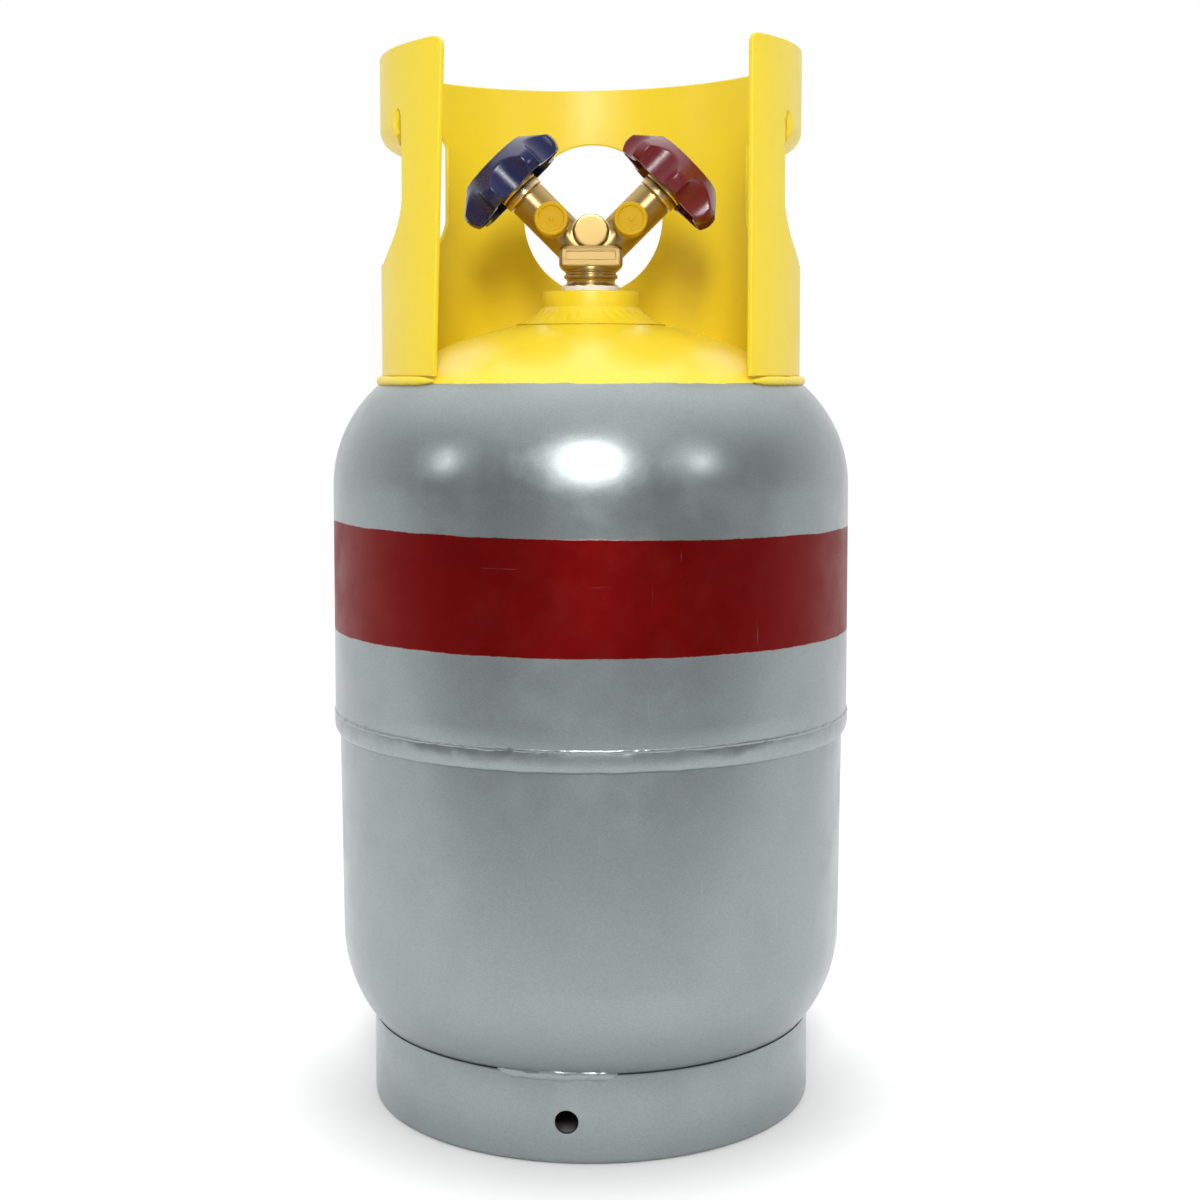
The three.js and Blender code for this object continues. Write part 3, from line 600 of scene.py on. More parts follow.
class ToolMarks(EffectGroup):
    """Fine turning rings along an axis, with tarnish."""

    name = "tool_marks"
    inputs = (
        ("Along", "NodeSocketFloat", 0.0),
        ("Vector", "NodeSocketVector", None),
        ("Depth", "NodeSocketFloat", 0.00001),
        ("Seed", "NodeSocketFloat", 0.0),
    )
    outputs = (("Tone", "NodeSocketFloat"), ("Height", "NodeSocketFloat"))

    def wire(self, shader: Shader, source: bpy.types.Node, sink: bpy.types.Node) -> None:
        """Wire tarnish from 0 to 1 and height in metres."""
        spread = shader.node("CombineXYZ")
        shader.feed(spread.inputs["Z"], source.outputs["Along"])
        rings = shader.noise(spread.outputs[0], 2600.0, 3.0, 0.7, source.outputs["Seed"])
        tarnish = shader.noise(source.outputs["Vector"], 190.0, 4.0, 0.6, source.outputs["Seed"])
        tone = shader.math("ADD", shader.math("MULTIPLY", rings, 0.45),
                           shader.math("MULTIPLY", tarnish, 0.55))
        shader.feed(sink.inputs["Tone"], shader.ramp(tone, 0.35, 0.68))
        shader.feed(sink.inputs["Height"], shader.math("MULTIPLY", rings, source.outputs["Depth"]))


ENAMEL_SKIN = EnamelSkin()
HANDLING = Handling()
CAST_GRAIN = CastGrain()
TOOL_MARKS = ToolMarks()


# ---------------------------------------------------------------- finishes


@dataclass(frozen=True)
class Finish:
    """A surface finish; each one builds its own material once."""

    name: str
    slot: str

    def wire(self, shader: Shader, surface: bpy.types.Node, at: bpy.types.NodeSocket) -> None:
        """Wire the finish into a Principled BSDF."""
        raise NotImplementedError

    def material(self) -> bpy.types.Material:
        """The material, made the first time it is asked for."""
        known = bpy.data.materials.get(self.name)
        if known:
            return known
        made = bpy.data.materials.new(self.name)
        made.use_nodes = True
        made.node_tree.nodes.clear()
        shader = Shader(made.node_tree)
        surface = shader.node("BsdfPrincipled")
        output = shader.node("OutputMaterial")
        shader.feed(output.inputs["Surface"], surface.outputs["BSDF"])
        coordinates = shader.node("TexCoord")
        self.wire(shader, surface, coordinates.outputs["Object"])
        return made

    def relief(self, shader: Shader, surface: bpy.types.Node, height: bpy.types.NodeSocket) -> None:
        """Feed a height in metres to the surface's normal through a Bump node."""
        bump = shader.node("Bump")
        bump.inputs["Strength"].default_value = 1.0
        bump.inputs["Distance"].default_value = 1.0
        shader.feed(bump.inputs["Height"], height)
        shader.feed(surface.inputs["Normal"], bump.outputs["Normal"])


@dataclass(frozen=True)
class Stripe:
    """A painted zone between two heights in millimetres, whose edges slope a little across X."""

    colour: Colour
    low: float
    high: float
    low_slope: float = 0.0
    high_slope: float = 0.0
    ragged: float = 0.35
    metallic: float = 0.0
    duller: float = 0.0


@dataclass(frozen=True)
class Enamel(Finish):
    """Sprayed enamel over steel, with optional painted stripes and metallic flake."""

    colour: Colour = (0.5, 0.5, 0.5, 1)
    roughness: float = 0.42
    flake: float = 0.0
    metallic: float = 0.0
    coat: float = 0.0
    drift: float = 0.08
    chips: float = 0.35
    seed: float = 1.0
    stripes: tuple[Stripe, ...] = ()

    def _share(self, shader: Shader, at: bpy.types.NodeSocket, stripe: Stripe) -> bpy.types.NodeSocket:
        """Mask of one stripe, 1 inside, with a slightly ragged edge."""
        place = shader.node("SeparateXYZ")
        shader.feed(place.inputs[0], at)
        x, z = place.outputs["X"], place.outputs["Z"]
        wander = shader.math("SUBTRACT", shader.noise(at, 60.0, 4.0, 0.6, self.seed + 5), 0.5)
        fuzz = shader.math("SUBTRACT", shader.noise(at, 520.0, 2.0, 0.6, self.seed + 6), 0.5)
        shift = shader.math("ADD", shader.math("MULTIPLY", wander, stripe.ragged * 4 * MM),
                            shader.math("MULTIPLY", fuzz, stripe.ragged * 1.6 * MM))
        height = shader.math("ADD", z, shift)
        above = shader.math("SUBTRACT", height,
                            shader.math("ADD", stripe.low * MM, shader.math("MULTIPLY", x, stripe.low_slope)))
        crest = shader.math("ADD", stripe.high * MM, shader.math("MULTIPLY", x, stripe.high_slope))
        below = shader.math("SUBTRACT", crest, height)
        soft = 0.00025
        return shader.math("MULTIPLY", shader.ramp(above, -soft, soft), shader.ramp(below, -soft, soft))

    def wire(self, shader: Shader, surface: bpy.types.Node, at: bpy.types.NodeSocket) -> None:
        """Wire colour with stripes, metallic share, roughness and relief."""
        colour: object = self.colour
        bare: object = 1.0
        ridge: object = 0.0
        metal: object = 0.0
        dull: object = 0.0
        for stripe in self.stripes:
            share = self._share(shader, at, stripe)
            colour = shader.mix(share, colour, stripe.colour)
            bare = shader.math("MULTIPLY", bare, shader.math("SUBTRACT", 1.0, share))
            ridge = shader.math("ADD", ridge, shader.math("MULTIPLY", share, 0.00004))
            metal = shader.math("ADD", metal, shader.math("MULTIPLY", share, stripe.metallic))
            dull = shader.math("ADD", dull, shader.math("MULTIPLY", share, stripe.duller))
        striped = bool(self.stripes)
        skin = ENAMEL_SKIN.place(shader, Vector=at, Color=colour, Drift=self.drift,
                                 Flake=shader.math("MULTIPLY", bare, self.flake) if striped else self.flake,
                                 Gloss_Roughness=self.roughness, Seed=self.seed)
        marks = HANDLING.place(shader, Vector=at, Chips=self.chips, Scratches=self.chips, Seed=self.seed + 2)
        grime = shader.mix(shader.math("MULTIPLY", marks.outputs["Dust"], 0.05), skin.outputs["Color"],
                           (0.16, 0.15, 0.13, 1))
        scuffed = shader.mix(shader.math("MULTIPLY", marks.outputs["Scratches"], 0.35), grime,
                             (0.62, 0.61, 0.58, 1))
        chipped = shader.mix(marks.outputs["Chips"], scuffed, (0.10, 0.085, 0.075, 1))
        shader.feed(surface.inputs["Base Color"], chipped)
        rough = shader.math("ADD", skin.outputs["Roughness"],
                            shader.math("MULTIPLY", marks.outputs["Chips"], 0.3), clamp=True)
        height = shader.math("SUBTRACT", skin.outputs["Height"],
                             shader.math("MULTIPLY", marks.outputs["Chips"], 0.00005))
        metallic: object = self.metallic
        gloss: object = self.coat
        if striped:
            metallic = shader.math("ADD", shader.math("MULTIPLY", bare, self.metallic), metal)
            gloss = shader.math("MULTIPLY", shader.math("SUBTRACT", 1.0, metal), self.coat)
            rough = shader.math("ADD", rough, dull, clamp=True)
            height = shader.math("ADD", height, ridge)
        shader.feed(surface.inputs["Metallic"], metallic)
        shader.feed(surface.inputs["Roughness"], rough)
        shader.feed(surface.inputs["Coat Weight"], gloss)
        surface.inputs["Coat Roughness"].default_value = 0.2
        self.relief(shader, surface, height)


@dataclass(frozen=True)
class ForgedMetal(Finish):
    """Blasted forging with darker hollows."""

    light: Colour = (0.37, 0.29, 0.155, 1)
    dark: Colour = (0.17, 0.115, 0.045, 1)
    roughness: float = 0.55
    seed: float = 11.0

    def wire(self, shader: Shader, surface: bpy.types.Node, at: bpy.types.NodeSocket) -> None:
        """Wire mottled metal with grain relief."""
        grain = CAST_GRAIN.place(shader, Vector=at, Grain_Size=1200.0, Depth=0.00008, Seed=self.seed)
        marks = HANDLING.place(shader, Vector=at, Chips=0.0, Scratches=0.6, Seed=self.seed + 1)
        tone = shader.mix(grain.outputs["Tone"], self.dark, self.light)
        colour = shader.mix(shader.math("MULTIPLY", marks.outputs["Scratches"], 0.5), tone,
                            (0.9, 0.75, 0.45, 1))
        shader.feed(surface.inputs["Base Color"], colour)
        surface.inputs["Metallic"].default_value = 1.0
        rough = shader.ramp(grain.outputs["Tone"], 0.0, 1.0, self.roughness + 0.12, self.roughness - 0.06)
        shader.feed(surface.inputs["Roughness"], rough)
        self.relief(shader, surface, grain.outputs["Height"])


@dataclass(frozen=True)
class TurnedMetal(Finish):
    """Machined metal with turning rings along a given axis."""

    light: Colour = (0.93, 0.75, 0.43, 1)
    dark: Colour = (0.60, 0.41, 0.17, 1)
    axis: tuple[float, float, float] = (0, 0, 1)
    roughness: float = 0.26
    seed: float = 21.0

    def wire(self, shader: Shader, surface: bpy.types.Node, at: bpy.types.NodeSocket) -> None:
        """Wire ringed metal with tarnish."""
        along = shader.node("VectorMath", operation="DOT_PRODUCT")
        shader.feed(along.inputs[0], at)
        along.inputs[1].default_value = self.axis
        rings = TOOL_MARKS.place(shader, Along=along.outputs["Value"], Vector=at, Depth=0.000012,
                                 Seed=self.seed)
        marks = HANDLING.place(shader, Vector=at, Chips=0.0, Scratches=0.4, Seed=self.seed + 1)
        tone = shader.mix(rings.outputs["Tone"], self.dark, self.light)
        colour = shader.mix(shader.math("MULTIPLY", marks.outputs["Dust"], 0.15), tone, self.dark)
        shader.feed(surface.inputs["Base Color"], colour)
        surface.inputs["Metallic"].default_value = 1.0
        rough = shader.ramp(rings.outputs["Tone"], 0.0, 1.0, self.roughness + 0.14, self.roughness)
        shader.feed(surface.inputs["Roughness"], rough)
        self.relief(shader, surface, rings.outputs["Height"])


@dataclass(frozen=True)
class Moulded(Finish):
    """Injection-moulded plastic with a faint flow pattern and lighter scratches."""

    colour: Colour = (0.5, 0.5, 0.5, 1)
    rubbed: Colour = (0.7, 0.7, 0.7, 1)
    roughness: float = 0.35
    grain: float = 0.000012
    seed: float = 31.0
    specular: float = 0.5

    def wire(self, shader: Shader, surface: bpy.types.Node, at: bpy.types.NodeSocket) -> None:
        """Wire plastic colour, gloss variation and a fine skin."""
        skin = CAST_GRAIN.place(shader, Vector=at, Grain_Size=1100.0, Depth=self.grain, Seed=self.seed)
        marks = HANDLING.place(shader, Vector=at, Chips=0.0, Scratches=0.7, Seed=self.seed + 1)
        flow = shader.ramp(shader.noise(at, 70.0, 3.0, 0.6, self.seed), 0.3, 0.7, 0.0, 0.22)
        tone = shader.mix(flow, self.colour, self.rubbed)
        colour = shader.mix(shader.math("MULTIPLY", marks.outputs["Scratches"], 0.3), tone, self.rubbed)
        shader.feed(surface.inputs["Base Color"], colour)
        rough = shader.ramp(marks.outputs["Dust"], 0.0, 1.0, self.roughness - 0.05, self.roughness + 0.12)
        shader.feed(surface.inputs["Roughness"], rough)
        surface.inputs["Specular IOR Level"].default_value = self.specular
        self.relief(shader, surface, skin.outputs["Height"])


@dataclass(frozen=True)
class Fibrous(Finish):
    """PTFE tape and packing: soft white with fine fibres."""

    colour: Colour = (0.86, 0.85, 0.82, 1)
    seed: float = 41.0

    def wire(self, shader: Shader, surface: bpy.types.Node, at: bpy.types.NodeSocket) -> None:
        """Wire a white fibrous surface."""
        fibre = shader.noise(shader.stretched(at, (240, 240, 2400)), 1.0, 4.0, 0.6, self.seed)
        grime = shader.ramp(shader.noise(at, 240.0, 4.0, 0.6, self.seed), 0.55, 0.8)
        white = shader.mix(fibre, self.colour, (0.72, 0.70, 0.66, 1))
        shader.feed(surface.inputs["Base Color"], shader.mix(grime, white, (0.34, 0.30, 0.24, 1)))
        surface.inputs["Roughness"].default_value = 0.62
        self.relief(shader, surface, shader.math("MULTIPLY", fibre, 0.00006))


# ---------------------------------------------------------------- geometry-node beads


@dataclass(frozen=True)
class BeadTree:
    """Geometry Nodes tree that lays a rippled bead along a path of edges.

    The path's vertices carry a float attribute named swell, which scales the bead's section.
    """

    name: str = "rippled_bead"

    def build(self) -> bpy.types.NodeTree:
        """The tree, made the first time it is asked for."""
        known = bpy.data.node_groups.get(self.name)
        if known:
            return known
        tree = bpy.data.node_groups.new(self.name, "GeometryNodeTree")
        face = tree.interface
        face.new_socket("Geometry", in_out="INPUT", socket_type="NodeSocketGeometry")
        for label in ("Half Width", "Half Height", "Step", "Pitch", "Ripple", "Lump", "Lump Size", "Seed"):
            face.new_socket(label, in_out="INPUT", socket_type="NodeSocketFloat")
        face.new_socket("Sides", in_out="INPUT", socket_type="NodeSocketInt")
        face.new_socket("Material", in_out="INPUT", socket_type="NodeSocketMaterial")
        face.new_socket("Geometry", in_out="OUTPUT", socket_type="NodeSocketGeometry")
        link = tree.links.new

        def add(kind: str, **settings: object) -> bpy.types.Node:
            """Add one node and set its properties."""
            node = tree.nodes.new(kind)
            for key, value in settings.items():
                setattr(node, key, value)
            return node

        def calc(operation: str, first: object, second: object = 0.0) -> bpy.types.NodeSocket:
            """Output of a Math node."""
            node = add("ShaderNodeMath", operation=operation)
            for target, value in zip(node.inputs, (first, second)):
                if isinstance(value, bpy.types.NodeSocket):
                    link(value, target)
                else:
                    target.default_value = value
            return node.outputs[0]

        source = add("NodeGroupInput")
        sink = add("NodeGroupOutput")
        curve = add("GeometryNodeMeshToCurve")
        link(source.outputs["Geometry"], curve.inputs["Mesh"])
        even = add("GeometryNodeResampleCurve", mode="LENGTH")
        link(curve.outputs[0], even.inputs["Curve"])
        link(source.outputs["Step"], even.inputs["Length"])
        upright_normals = add("GeometryNodeSetCurveNormal", mode="Z_UP")
        link(even.outputs[0], upright_normals.inputs["Curve"])
        run = add("GeometryNodeStoreNamedAttribute", data_type="FLOAT", domain="POINT")
        run.inputs["Name"].default_value = "run"
        link(upright_normals.outputs[0], run.inputs["Geometry"])
        link(add("GeometryNodeSplineParameter").outputs["Length"], run.inputs["Value"])
        ring = add("GeometryNodeCurvePrimitiveCircle", mode="RADIUS")
        ring.inputs["Radius"].default_value = 1.0
        link(source.outputs["Sides"], ring.inputs["Resolution"])
        size = add("ShaderNodeCombineXYZ")
        link(source.outputs["Half Width"], size.inputs["X"])
        link(source.outputs["Half Height"], size.inputs["Y"])
        size.inputs["Z"].default_value = 1.0
        section = add("GeometryNodeTransform")
        link(ring.outputs["Curve"], section.inputs["Geometry"])
        link(size.outputs[0], section.inputs["Scale"])
        swell = add("GeometryNodeInputNamedAttribute", data_type="FLOAT")
        swell.inputs["Name"].default_value = "swell"
        sweep = add("GeometryNodeCurveToMesh")
        sweep.inputs["Fill Caps"].default_value = True
        link(run.outputs[0], sweep.inputs["Curve"])
        link(section.outputs[0], sweep.inputs["Profile Curve"])
        link(swell.outputs[0], sweep.inputs["Scale"])
        along = add("GeometryNodeInputNamedAttribute", data_type="FLOAT")
        along.inputs["Name"].default_value = "run"
        wander = add("ShaderNodeTexNoise", noise_dimensions="4D")
        wander.inputs["Detail"].default_value = 2.0
        link(source.outputs["Seed"], wander.inputs["W"])
        link(source.outputs["Lump Size"], wander.inputs["Scale"])
        phase = calc("DIVIDE", along.outputs[0], source.outputs["Pitch"])
        crest = calc("ABSOLUTE", calc("SINE", calc("ADD", calc("MULTIPLY", phase, math.pi),
                                                   calc("MULTIPLY", wander.outputs[0], 5.0))))
        ripple = calc("MULTIPLY", calc("SUBTRACT", crest, 0.6), source.outputs["Ripple"])
        lump = calc("MULTIPLY", calc("SUBTRACT", wander.outputs[0], 0.5), source.outputs["Lump"])
        push = add("ShaderNodeVectorMath", operation="SCALE")
        link(add("GeometryNodeInputNormal").outputs[0], push.inputs[0])
        link(calc("ADD", ripple, lump), push.inputs["Scale"])
        shift = add("GeometryNodeSetPosition")
        link(sweep.outputs[0], shift.inputs["Geometry"])
        link(push.outputs[0], shift.inputs["Offset"])
        real = add("GeometryNodeRealizeInstances")
        link(shift.outputs[0], real.inputs[0])
        dress = add("GeometryNodeSetMaterial")
        link(real.outputs[0], dress.inputs["Geometry"])
        link(source.outputs["Material"], dress.inputs["Material"])
        link(dress.outputs[0], sink.inputs[0])
        return tree

    def lay(self, path: Sequence[Vector], swell: Sequence[float], material: bpy.types.Material,
            cyclic: bool = False, **sizes: float) -> bpy.types.Mesh:
        """Lay a bead.

        Args:
            path: Points in millimetres.
            swell: Scale of the section at each point.
            material: Finish of the bead.
            cyclic: Whether the path closes on itself.
            **sizes: The tree's inputs in metres, by name, with spaces as underscores.

        Returns:
            The bead as a plain mesh.
        """
        count = len(path)
        edges = [(i, (i + 1) % count) for i in range(count if cyclic else count - 1)]
        mesh = bpy.data.meshes.new("path")
        mesh.from_pydata([point * MM for point in path], edges, [])
        mesh.attributes.new("swell", "FLOAT", "POINT").data.foreach_set("value", swell)
        helper = loose_object(mesh)
        modifier = helper.modifiers.new("bead", "NODES")
        modifier.node_group = self.build()
        values = {key.replace("_", " "): value for key, value in sizes.items()} | {"Material": material}
        for item in modifier.node_group.interface.items_tree:
            if item.in_out == "INPUT" and item.name in values:
                modifier[item.identifier] = values[item.name]
        return baked(helper)

    def lay_wire(self, path: Sequence[Vector], radius: float, finish: Finish, swell: Sequence[float],
                 **sizes: float) -> bpy.types.Mesh:
        """Lay a smooth round wire.

        Args:
            path: Points in millimetres.
            radius: The wire's radius in millimetres.
            finish: Finish of the wire.
            swell: Scale of the section at each point.
            **sizes: The tree's Step in metres and its Sides.

        Returns:
            The wire as a plain mesh.
        """
        return self.lay(path, swell, finish.material(), Half_Width=radius * MM, Half_Height=radius * MM,
                        Pitch=10.0 * MM, Ripple=0.0, Lump=0.0, Lump_Size=10.0, Seed=1.0, **sizes)


BEADS = BeadTree()


def circle_path(radius: float, z: float, start: float = 0.0, end: float = 360.0,
                steps: int = 240) -> list[Vector]:
    """Points of a level circle or arc, in millimetres, between two azimuths in degrees."""
    whole = abs(end - start) >= 360.0
    angles = [math.radians(start + (end - start) * i / steps) for i in range(steps if whole else steps + 1)]
    return [Vector((radius * math.sin(a), -radius * math.cos(a), z)) for a in angles]


def tapered(count: int, share: float = 0.06) -> list[float]:
    """Section scale along an open bead, which thins towards both ends."""
    ends = max(2, int(count * share))
    nearest = [min(i, count - 1 - i) for i in range(count)]
    return [0.25 + 0.75 * math.sin(math.pi / 2 * min(1.0, step / ends)) for step in nearest]


# ---------------------------------------------------------------- colours and finishes

SILVER = (0.285, 0.318, 0.324, 1)
DULL_RED = (0.185, 0.0015, 0.0015, 1)
YELLOW = (0.82, 0.62, 0.02, 1)
RED_BAND = Stripe(DULL_RED, 214.3, 261.9, -0.0023, -0.0127, metallic=0.93, duller=0.12)
YELLOW_CROWN = Stripe(YELLOW, 324.05, 420.0, 0.002, 0.0, 0.5)

SILVER_ENAMEL = Enamel("silver_enamel", "silver_paint", SILVER, 0.34, flake=0.15, metallic=0.85,
                       coat=0.2, drift=0.05, seed=1.0)
SHELL_ENAMEL = Enamel("banded_shell_enamel", "silver_paint", SILVER, 0.34, flake=0.15, metallic=0.85,
                      coat=0.2, drift=0.05, seed=1.0, stripes=(RED_BAND, YELLOW_CROWN))
YELLOW_ENAMEL = Enamel("yellow_enamel", "yellow_paint", YELLOW, 0.40, coat=0.05, drift=0.045, chips=0.25,
                       seed=3.0)
FORGED_BRASS = ForgedMetal("forged_brass", "forged_brass")
MACHINED_BRASS = TurnedMetal("machined_brass", "machined_brass")
FACED_BRASS = TurnedMetal("faced_brass", "forged_brass", (0.33, 0.265, 0.15, 1), (0.17, 0.12, 0.055, 1),
                          axis=(0.2, 0.0, 1.0), roughness=0.4, seed=23.0)
ARM_BRASS = {
    side: TurnedMetal(f"arm_brass_{side.fluid}", "machined_brass", axis=(side.value * 0.7071, 0, 0.7071))
    for side in Side
}
BACK_BRASS = TurnedMetal("back_brass", "machined_brass", axis=(0, 1, 0), seed=25.0)
BRIGHT_STEEL = TurnedMetal("bright_steel", "steel", (0.62, 0.62, 0.61, 1), (0.40, 0.40, 0.40, 1), seed=27.0)
WHITE_TAPE = Fibrous("white_tape", "white_ptfe")
CAP_PLASTIC = Moulded("cap_plastic", "yellow_plastic", (0.54, 0.32, 0.001, 1), (0.60, 0.38, 0.006, 1), 0.5,
                      seed=33.0, specular=0.15)
WHEEL_PLASTIC = {
    Side.VAPOR: Moulded("blue_wheel_plastic", "blue_plastic", (0.004, 0.006, 0.055, 1),
                        (0.014, 0.020, 0.11, 1), 0.29, seed=35.0),
    Side.LIQUID: Moulded("red_wheel_plastic", "red_plastic", (0.125, 0.006, 0.011, 1),
                         (0.22, 0.022, 0.03, 1), 0.31, seed=37.0),
}


# ---------------------------------------------------------------- sub-assemblies


@dataclass
class SubAssembly:
    """Shared way of settling a finished piece into the frame."""

    body: Body = Body.CYLINDER

    def settle(self, piece: bpy.types.Object, finishes: Sequence[Finish], *nodes: str,
               body: Body | None = None) -> None:
        """Dress a piece, hide the CAD nodes that it stands for and fix it to its body.

        Args:
            piece: The finished piece.
            finishes: Its materials, in slot order.
            *nodes: CAD nodes that it replaces.
            body: Body to ride on, if not the sub-assembly's own.
        """
        piece.data.materials.clear()
        for finish in finishes:
            piece.data.materials.append(finish.material())
        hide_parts(*nodes)
        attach(piece, (body or self.body).value)
        LOG.info("%s: %d faces, rides on %s", piece.name, len(piece.data.polygons), (body or self.body).value)


@dataclass
class Vessel(SubAssembly):
    """Pressed upper and lower heads, the girth weld between them, and the valve boss."""

    radius: float = 116.5
    wall: float = 2.2
    knuckle: float = 60.0
    top_knuckle_z: float = 278.0
    top_tangent: float = 60.0
    lap_bottom: float = 177.3
    lap_top: float = 192.0
    lower_radius_top: float = 114.4
    lower_radius_bottom: float = 113.4
    lower_knuckle_z: float = 77.5
    lower_tangent: float = 72.0
    boss_radius: float = 22.0
    boss_top: float = 365.0
    spigot_radius: float = 19.7
    spigot_bottom: float = 341.0
    bore: float = 13.6
    boss_weld_radius: float = 34.0
    boss_weld_top: float = 358.0

    def crown(self) -> tuple[float, float]:
        """Radius of the crown's sphere and the height of its centre."""
        reach = self.radius - self.knuckle
        radius = self.knuckle + reach / math.cos(math.radians(self.top_tangent))
        return radius, self.top_knuckle_z - (radius - self.knuckle) * math.sin(math.radians(self.top_tangent))

    def top_z(self, radius: float) -> float:
        """Height of the upper head's outer face at a radius."""
        crown_radius, centre_z = self.crown()
        if radius < crown_radius * math.cos(math.radians(self.top_tangent)):
            return centre_z + math.sqrt(crown_radius**2 - radius**2)
        return self.top_knuckle_z + math.sqrt(self.knuckle**2 - (radius - self.radius + self.knuckle) ** 2)

    def under_z(self, radius: float) -> float:
        """Height of the lower head's outer face at a radius on its knuckle."""
        reach = radius - self.lower_radius_bottom + self.knuckle
        return self.lower_knuckle_z - math.sqrt(self.knuckle**2 - reach**2)

    def _upper_face(self, inset: float) -> list[Point]:
        """One face of the upper head, from the lap up to the boss hole."""
        crown_radius, centre_z = self.crown()
        hole = math.degrees(math.acos((self.spigot_radius + GAP) / (crown_radius - inset)))
        wall = [(self.radius - inset, self.lap_bottom + (self.top_knuckle_z - self.lap_bottom) * i / 12)
                for i in range(12)]
        knuckle = arc((self.radius - self.knuckle, self.top_knuckle_z), self.knuckle - inset, 0,
                      self.top_tangent, 26)
        return wall + knuckle + arc((0, centre_z), crown_radius - inset, self.top_tangent, hole, 16)[1:]

    def _lower_face(self, inset: float) -> list[Point]:
        """One face of the lower head, from its middle up to the lap."""
        reach = self.lower_radius_bottom - self.knuckle
        crown_radius = self.knuckle + reach / math.cos(math.radians(self.lower_tangent))
        rise = (crown_radius - self.knuckle) * math.sin(math.radians(self.lower_tangent))
        crown = arc((0, self.lower_knuckle_z + rise), crown_radius - inset, -90, -self.lower_tangent, 12)
        crown[0] = (0.0, crown[0][1])
        knuckle = arc((reach, self.lower_knuckle_z), self.knuckle - inset, -self.lower_tangent, 0, 26)[1:]
        lap = self.radius - self.wall - GAP - inset
        joggle = [(self.lower_radius_top - inset, 168.0), (lap, self.lap_bottom - 3), (lap, self.lap_top)]
        return crown + knuckle + joggle

    def build(self) -> None:
        """Build both heads, the girth weld, the boss and its weld."""
        upper = self._upper_face(0) + self._upper_face(self.wall)[::-1]
        self.settle(joined("upper_head", [turned(eased(upper, 0.7), 240)]), [SHELL_ENAMEL], "upper_shell")
        lower = self._lower_face(0) + self._lower_face(self.wall)[::-1]
        self.settle(joined("lower_head", [turned(lower, 240, ring=False)]), [SILVER_ENAMEL], "lower_shell")
        low, high = box_mm("girth_weld")
        path = circle_path(self.lower_radius_top + 0.7, (low.z + high.z) / 2 + 2.6, steps=480)
        bead = BEADS.lay(path, [1.0] * len(path), SILVER_ENAMEL.material(), True, Half_Width=1.75 * MM,
                         Half_Height=5.7 * MM, Step=0.8 * MM, Pitch=6.5 * MM, Ripple=0.05 * MM,
                         Lump=1.3 * MM, Lump_Size=75.0, Seed=2.0, Sides=26)
        lip = circle_path(self.radius - 0.35, self.lap_bottom - 0.4, steps=480)
        crest = BEADS.lay(lip, [1.0] * len(lip), SILVER_ENAMEL.material(), True, Half_Width=0.75 * MM,
                          Half_Height=1.0 * MM, Step=0.7 * MM, Pitch=5.0 * MM, Ripple=0.12 * MM,
                          Lump=1.6 * MM, Lump_Size=150.0, Seed=4.0, Sides=12)
        self.settle(joined("girth_bead", [bead, crest], 60), [SILVER_ENAMEL], "girth_weld")
        self._build_boss()

    def _build_boss(self) -> None:
        """Build the boss and the fillet weld round it."""
        shoulder = self.top_z(self.spigot_radius) + GAP
        outline = [(self.bore, self.spigot_bottom), (self.spigot_radius, self.spigot_bottom),
                   (self.spigot_radius, shoulder), (self.boss_radius, shoulder),
                   (self.boss_radius, self.boss_top), (self.bore, self.boss_top)]
        self.settle(joined("boss", [turned(eased(outline, 0.9), 128)]), [YELLOW_ENAMEL], "valve_boss")
        root = self.boss_radius + GAP
        toe = Vector((self.boss_weld_radius, self.top_z(self.boss_weld_radius) + 0.6))
        waist = Vector((root + 2.5, self.top_z(root) + 1.2))
        head = Vector((root, self.boss_weld_top))

        def fillet(angle: float) -> list[Point]:
            """Section of the weld at an angle, with ripples that run round the boss."""
            face = []
            for i in range(21):
                t = i / 20
                spot = toe * (1 - t) ** 2 + waist * (2 * t * (1 - t)) + head * t**2
                lump = noise.noise(Vector((4 * math.sin(angle), 4 * math.cos(angle), spot.x * 0.25)))
                crest = abs(math.sin(17 * angle + 2.2 * t + 0.9 * lump)) - 0.6
                push = math.sin(math.pi * t) * (0.30 * crest + 0.35 * lump)
                face.append((spot.x + 0.5 * push, spot.y + push))
            under = [root + (self.boss_weld_radius - root) * i / 6 for i in range(7)]
            return [(r, self.top_z(r) + 0.2) for r in under] + face

        weld = turned_with(fillet, 320)
        self.settle(joined("boss_fillet", [weld], 60), [YELLOW_ENAMEL], "boss_weld")


